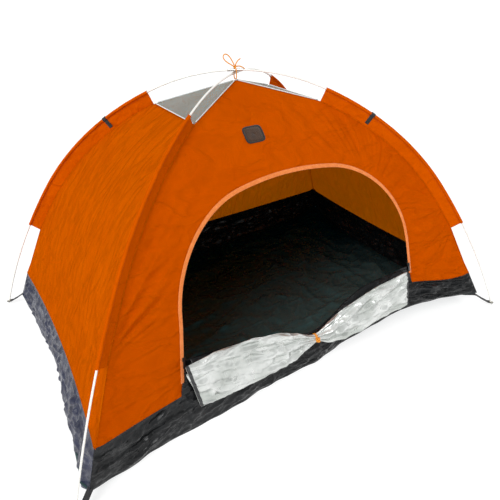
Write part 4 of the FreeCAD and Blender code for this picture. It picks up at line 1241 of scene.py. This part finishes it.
def front_spot(x, z):
    """Points of the front wall's smooth outer face, with their outward normals."""
    x, z = np.asarray(x, float), np.asarray(z, float)

    def at(px, pz):
        return wall("front", px / (HALF_LENGTH * seam_out(pz) / HALF_DIAGONAL), pz)

    step = 0.004
    across = at(x + step, z) - at(x - step, z)
    rise = at(x, z + step) - at(x, z - step)
    return hitched(at(x, z)), unit(np.cross(across, rise))


def make_zip():
    line = door_edge(0, 0.004)
    ahead = unit(np.gradient(line, axis=0))
    outward = np.stack([-ahead[:, 1], ahead[:, 0]], axis=1)
    steps = np.array([-0.0060, -0.0056, -0.003, 0.0, 0.003, 0.0056, 0.0060])
    rises = np.array([0.0010, 0.0015, 0.0019, 0.0017, 0.0016, 0.0015, 0.0010])
    x = line[:, None, 0] + outward[:, None, 0] * steps
    z = np.maximum(line[:, None, 1] + outward[:, None, 1] * steps, SILL + 0.0005)
    points, normals = front_spot(x, z)
    points = points + normals * rises[None, :, None]
    along = run_along(line)
    uv = np.stack(np.broadcast_arrays(steps[None], along[:, None]), axis=-1)
    tape = surface("door_tape", [(points, uv)], thickness=0.0008, lift=-1)
    wear(tape, DOOR_TAPE, "zip_tape", "tent", ["door_zip_tape"])
    fine = door_edge(-TAPE_OVERHANG + 0.0006, 0.0007)
    fine = fine[fine[:, 1] > SILL + 0.003]
    place, normal = front_spot(fine[:, 0], fine[:, 1])
    place = place + normal * 0.0013
    run = run_along(fine)
    tooth = 0.0021
    swell = 1 + 0.28 * np.sin(run * 2 * math.pi / tooth)
    ahead = unit(np.gradient(place, axis=0))
    sides = np.cross(ahead, normal)
    ring = circle(1.0, 6)
    section = ring[None] * swell[:, None, None] * np.array([0.00085, 0.00075])
    coil = sweep("door_coil", place, sides, normal, section)
    wear(coil, DOOR_COIL, "zip_tape")
    rows = []
    for row in (0.0015, 0.0048):
        x = line[:, 0] + outward[:, 0] * row
        z = np.maximum(line[:, 1] + outward[:, 1] * row, SILL + 0.0005)
        spot, normal = front_spot(x, z)
        rows.append(stitches(f"door_row_{row}", spot + normal * 0.0020, normal))
    thread = join("door_stitches", rows)
    wear(thread, PALE_THREAD, "zip_tape")


# ---------------------------------------------------------------- badge


def make_badge():
    """A plain oblong patch with a raised, overcast rim."""
    x0, z0, half_wide, half_tall = -0.070, 0.929, 0.039, 0.025
    turns = np.linspace(0, 2 * math.pi, 97)[:-1]
    c, s = np.cos(turns), np.sin(turns)
    power = 5.0
    outline = 1 / (np.abs(c / half_wide) ** power + np.abs(s / half_tall) ** power) ** (1 / power)

    def ring(share, lift):
        x, z = x0 + outline * share * c, z0 + outline * share * s * 0.93
        place, normal = front_spot(x, z)
        return place + normal * lift

    levels = [(0.02, 0.0019), (0.3, 0.0019), (0.6, 0.0018), (0.84, 0.0017)]
    cloth = np.stack([ring(*level) for level in levels])
    uv = np.stack([np.stack([outline * share * c, outline * share * s], axis=-1) for share, _ in levels])
    patch = surface("badge_cloth", [(cloth, uv)], closed=True, thickness=0.0006, lift=-1)
    wear(patch, BADGE_CLOTH, "badge", "tent", ["badge_patch"])
    levels = [(0.83, 0.0010), (0.84, 0.0022), (0.89, 0.0029), (0.95, 0.0028), (1.0, 0.0020),
              (1.0, 0.0008)]
    rim = np.stack([ring(*level) for level in levels])
    uv = np.stack([np.stack([turns * 0.03, np.full(96, share * 0.03)], axis=-1) for share, _ in levels])
    border = surface("badge_rim", [(rim, uv)], closed=True, thickness=0.0004, lift=-1)
    wear(border, BADGE_RIM, "badge")


# ---------------------------------------------------------------- door flap

FLAP_SHARES = np.array([-1.00, -0.80, -0.55, -0.30, -0.12, 0.03, 0.07, 0.16, 0.32, 0.65, 0.97])
FLAP_MIDDLES = np.array([212, 200, 188, 168, 157, 150, 150, 150, 160, 194, 222]) / 1000
FLAP_TALLS = np.array([104, 116, 110, 92, 56, 15, 15, 46, 82, 94, 92]) / 1000
FLAP_THICKS = np.array([9, 14, 15, 16, 16, 12, 12, 16, 16, 15, 9]) / 1000
NECK = 0.05


def eased(share, values):
    """Values along the flap, rounded where straight steps would show a corner."""
    total = 0
    offsets = np.linspace(-0.045, 0.045, 7)
    for offset in offsets:
        total = total + np.interp(share + offset, FLAP_SHARES, values)
    return total / len(offsets)


def flap_spot(share, turn, lift=0.0):
    """Points of the flap's surface. turn runs round it: 0 behind, a quarter at the bottom,
    a half in front and three quarters at the top."""
    middle, tall, thick = (eased(share, values) for values in (FLAP_MIDDLES, FLAP_TALLS, FLAP_THICKS))
    side = np.where(share < NECK, -1, 1)
    from_neck = np.abs(share - NECK) * FLAP_HALF
    angle = turn * 2 * math.pi
    across, up = -np.cos(angle), -np.sin(angle)
    up = np.sign(up) * np.abs(up) ** 0.82
    x = share * FLAP_HALF - 0.019 * up * smooth(np.abs(share), 0.5, 1.0)
    to_end = np.minimum(share - FLAP_ENDS[0], FLAP_ENDS[1] - share)
    end = smooth(to_end, 0.0, 0.03)
    sag = 1 + 0.30 * (-up) * smooth(from_neck, 0.03, 0.2)
    drift = 0.5 * ripple(share * 3, up * 1.5, 120)
    pleats = 1 - 2 * np.abs(np.sin(up * 4.4 + side * 0.7 + drift)) ** 0.8
    minor = 1 - 2 * np.abs(np.sin(up * 9.3 + side * 0.4 + 2 * drift)) ** 0.8
    ropes = ridges(share * 2.6 + up * 0.5, up * 2.6 + 2.0 - side * share * 1.5, 121, 1.8) - 0.4
    slant = ridges(share * 5.0 + side * up * 1.3, up * 1.6 + 7.0, 122) - 0.35
    small = folds(share * 12.0, up * 4.5, 124)
    front = smooth(across, -0.6, 0.4)
    near = np.exp(-from_neck / 0.26)
    out = (0.0165 * pleats * near + 0.0085 * minor * near ** 1.5) * smooth(from_neck, 0.0, 0.03)
    out = out + 0.0155 * ropes * (1 - 0.5 * near) + 0.0100 * slant + 0.0015 * small
    out = out * (0.25 + 0.75 * front) * (0.12 + 0.88 * end) * smooth(tall, 0.010, 0.045)
    # A turn below 0 is the layer rolled up inside, smaller and smoother.
    inner = smooth(turn, 0.14, -0.40)
    out = out * (1 - 0.8 * inner)
    pinched = 0.30 + 0.70 * smooth(to_end, 0.0, 0.06)
    depth = thick * pinched * sag * np.where(across > 0, 1.15, 0.9)
    y = -(FLAP_OUT - FLAP_BOW * (1 - share ** 2)) - across * (depth * (1 - 0.45 * inner) + out + lift)
    z = middle + up * (tall * (1 - 0.40 * inner) + 0.25 * out + lift)
    hem = 0.007 * ripple(share * 4.5, share * 0 + 0.3, 123) * smooth(-up, 0.2, 1.0)
    z = z + hem * smooth(from_neck, 0.04, 0.2)
    return np.stack(np.broadcast_arrays(x, y, z), axis=-1)


def make_flap():
    """The gathered door: each half is a sheet rolled a turn and a half, its free edge taped."""
    halves = [("left", FLAP_ENDS[0], NECK, 0.022), ("right", NECK, FLAP_ENDS[1], 0.014)]
    for label, first, last, tape_wide in halves:
        shares = np.linspace(first, last, 230)
        share, turn = np.broadcast_arrays(shares[:, None], np.linspace(-0.55, 1, 170)[None])
        points = flap_spot(share, turn)
        uv = np.stack([share * FLAP_HALF, turn * ROLL], axis=-1)
        lobe = surface(f"flap_lobe_{label}", [(points, uv)], thickness=0.0008, lift=0)
        wear(lobe, SILVER, "door_lining", "door_flap", ["door_flap"] if label == "left" else [])
        edge = np.linspace(0, tape_wide, 9)
        edge = first + edge if label == "left" else last - edge
        share, turn = np.broadcast_arrays(edge[:, None], np.linspace(0.26, 0.76, 60)[None])
        tape_points = flap_spot(share, turn, 0.0014)
        uv = np.stack([share * FLAP_HALF, turn * ROLL], axis=-1)
        tape = surface(f"flap_tape_{label}", [(tape_points, uv)], thickness=0.0008, lift=-1)
        wear(tape, GREY_TAPE, "zip_tape", "door_flap")


def make_flap_tie():
    """Cord wound three times round the flap's neck, with its knot in front."""
    turns = np.linspace(0, 3 * 2 * math.pi, 160)
    x = NECK * FLAP_HALF + np.linspace(-0.0058, 0.0058, 160)
    out = FLAP_OUT - FLAP_BOW
    path = np.stack([x, -out - 0.0155 * np.cos(turns), 0.150 + 0.0178 * np.sin(turns)], axis=1)
    sides, ups = path_frames(path, (1, 0, 0))
    wound = sweep("flap_tie_cord", path, sides, ups, circle(0.0020, 8))
    wear(wound, TIE_ORANGE, "tie_cord", "door_flap", ["door_flap_tie"])
    centre = (NECK * FLAP_HALF, -out - 0.0190, 0.153)
    knot = knot_mesh("flap_tie_knot", centre, 0.0085, 0.0054, 0.0032, 1.3)
    wear(knot, TIE_ORANGE, "tie_cord", "door_flap")


def apron_top(x):
    """Height of the zipped corners' upper edge, or of the sill between them."""
    return np.interp(np.abs(x), [0.060, 0.500, 0.536], [0.2290, 0.3055, 0.3055])


def make_apron():
    """The door's low corners, still zipped in, with the closed zip beside them."""
    for label, hand in (("left", -1), ("right", 1)):
        inner = door_edge(-0.0100, 0.003)
        inner = inner[(inner[:, 0] * hand > 0) & (inner[:, 1] < 0.330)]
        heights = np.linspace(SILL - 0.006, 0.3065, 15)
        order = np.argsort(inner[:, 1])
        far = np.interp(heights, inner[order, 1], np.abs(inner[order, 0]))
        near = 0.060 + (heights - 0.229) * (0.440 / 0.0765)
        near = np.clip(near, 0.050, far - 0.004)
        share = np.linspace(0, 1, 70)[None]
        x = hand * (near[:, None] + (far - near)[:, None] * share)
        z = np.broadcast_to(heights[:, None], x.shape)
        points, normals = front_spot(x, z)
        crease = 0.0012 * ripple(x / 0.05, z / 0.05, 140) * smooth(share, 1.0, 0.9)
        points = points + normals * (crease - 0.0006)[..., None]
        uv = np.stack([x, z], axis=-1)
        apron = surface(f"door_apron_{label}", [(points, uv)], thickness=CLOTH, lift=-1)
        wear(apron, TUB_GREY, "canopy_cloth", "tent", ["door_apron"] if hand < 0 else [])


def make_fold():
    """The cloth that runs from the zipped corners and the sill, over and down into the flap, given the
    dark tub cloth as painted shade.
    """
    share = np.linspace(-0.985, 0.955, 200)[None]
    rise = np.linspace(0, 1, 15)[:, None]
    x = share * FLAP_HALF
    z0 = apron_top(x) - 0.004
    start, _ = front_spot(x, z0)
    start = start + np.array([0, 0.0035, 0])
    z0 = start[..., 2]
    end_z = eased(share, FLAP_MIDDLES) + eased(share, FLAP_TALLS) * 0.62
    end_y = -(FLAP_OUT - FLAP_BOW * (1 - share ** 2)) + 0.004 + 0 * x
    end = np.stack([x, end_y, end_z], axis=-1)
    top_z = np.minimum(z0, end_z + 0.02) + 0.002 * ripple(share * 7, share * 0, 150)
    peak = np.stack([x, (start[..., 1] + end_y) / 2, top_z], axis=-1)
    weight = [(1 - rise) ** 2, 2 * rise * (1 - rise), rise ** 2]
    points = sum(w[..., None] * p for w, p in zip(weight, (start, peak, end)))
    crease = 0.0016 * ripple(share * 16, rise * 1.5, 151)
    points = points + np.stack([0 * crease, 0.4 * crease, crease], axis=-1)
    uv = np.stack(np.broadcast_arrays(x, rise * 0.05), axis=-1)
    fold = surface("shaded_door_fold", [(points, uv)], thickness=0.0008, lift=0)
    # painted shade: the fold takes the dark tub cloth, standing in for the shade above the flap
    fold.data.materials.append(TUB_GREY)
    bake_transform(fold)


# ---------------------------------------------------------------- carried-over CAD nodes


def finish_nodes():
    paints = [
        ("pole_", "_segment_", GLASS_FIBRE),
        ("pole_", "_ferrules", FERRULE),
        ("pole_", "_shock_cord", ELASTIC),
        ("pole_end_tips", "", TIP_PLASTIC),
        ("grommet_", "", BRASS),
        ("zip_slider_", "", NICKEL),
        ("zip_pull_", "", NICKEL),
        ("vent_piping_", "", WHITE_TAPE),
    ]
    for name, node in NODES.items():
        for start, inside, paint in paints:
            if name.startswith(start) and inside in name:
                for slot in node.material_slots:
                    slot.material = paint
                if not node.material_slots:
                    node.data.materials.append(paint)


# ---------------------------------------------------------------- stage and light


def make_stage():
    floor_mesh = bpy.data.meshes.new("stage_floor")
    count, radius, tall, below = 64, 38.0, 14.0, -0.001
    turns = np.arange(count) * 2 * math.pi / count
    foot = [(radius * math.cos(turn), radius * math.sin(turn), below) for turn in turns]
    head = [(x, y, tall) for x, y, _ in foot]
    backdrop = [(i, (i + 1) % count, (i + 1) % count + count, i + count) for i in range(count)]
    floor_mesh.from_pydata(foot + head, [], [tuple(range(count))] + backdrop)
    floor = link("stage_floor", floor_mesh)
    paint = Paint("stage_floor", (0.35, 0.35, 0.35), 0.9, specular=0.0, Emission_Strength=0.72,
                  Emission_Color=(1.0, 1.0, 1.0, 1.0))
    floor_mesh.materials.append(paint.material)
    world = bpy.data.worlds.new("studio")
    world.use_nodes = True
    world.node_tree.nodes["Background"].inputs["Color"].default_value = (1.0, 1.0, 1.0, 1.0)
    world.node_tree.nodes["Background"].inputs["Strength"].default_value = 0.42
    SCENE.world = world
    suns = [("key", (-0.58, -0.40, 0.71), 2.35, 35), ("soft_top", (0.30, 0.10, 0.95), 0.5, 90)]
    for name, source, strength, spread in suns:
        data = bpy.data.lights.new(name, "SUN")
        data.energy = strength
        data.angle = math.radians(spread)
        lamp = link(name, data)
        lamp.rotation_euler = (-Vector(source)).to_track_quat("-Z", "Y").to_euler()
    SCENE.view_settings.view_transform = "Standard"


# ---------------------------------------------------------------- build


make_front()
for wall_side in ("back", "left", "right"):
    make_wall(wall_side, 0.008)
for vent_side in ("left", "right"):
    make_vent(vent_side)
for tub_side in WALLS:
    make_tub(tub_side)
make_floor()
for seed, corner_name in enumerate(CORNERS):
    make_sleeve(corner_name, 200 + 10 * seed)
make_loops()
make_corner_seams()
for corner_name in CORNERS:
    make_tab(corner_name)
make_zip()
make_badge()
make_apron()
make_flap()
make_flap_tie()
make_fold()
finish_nodes()
make_stage()

bpy.context.view_layer.update()
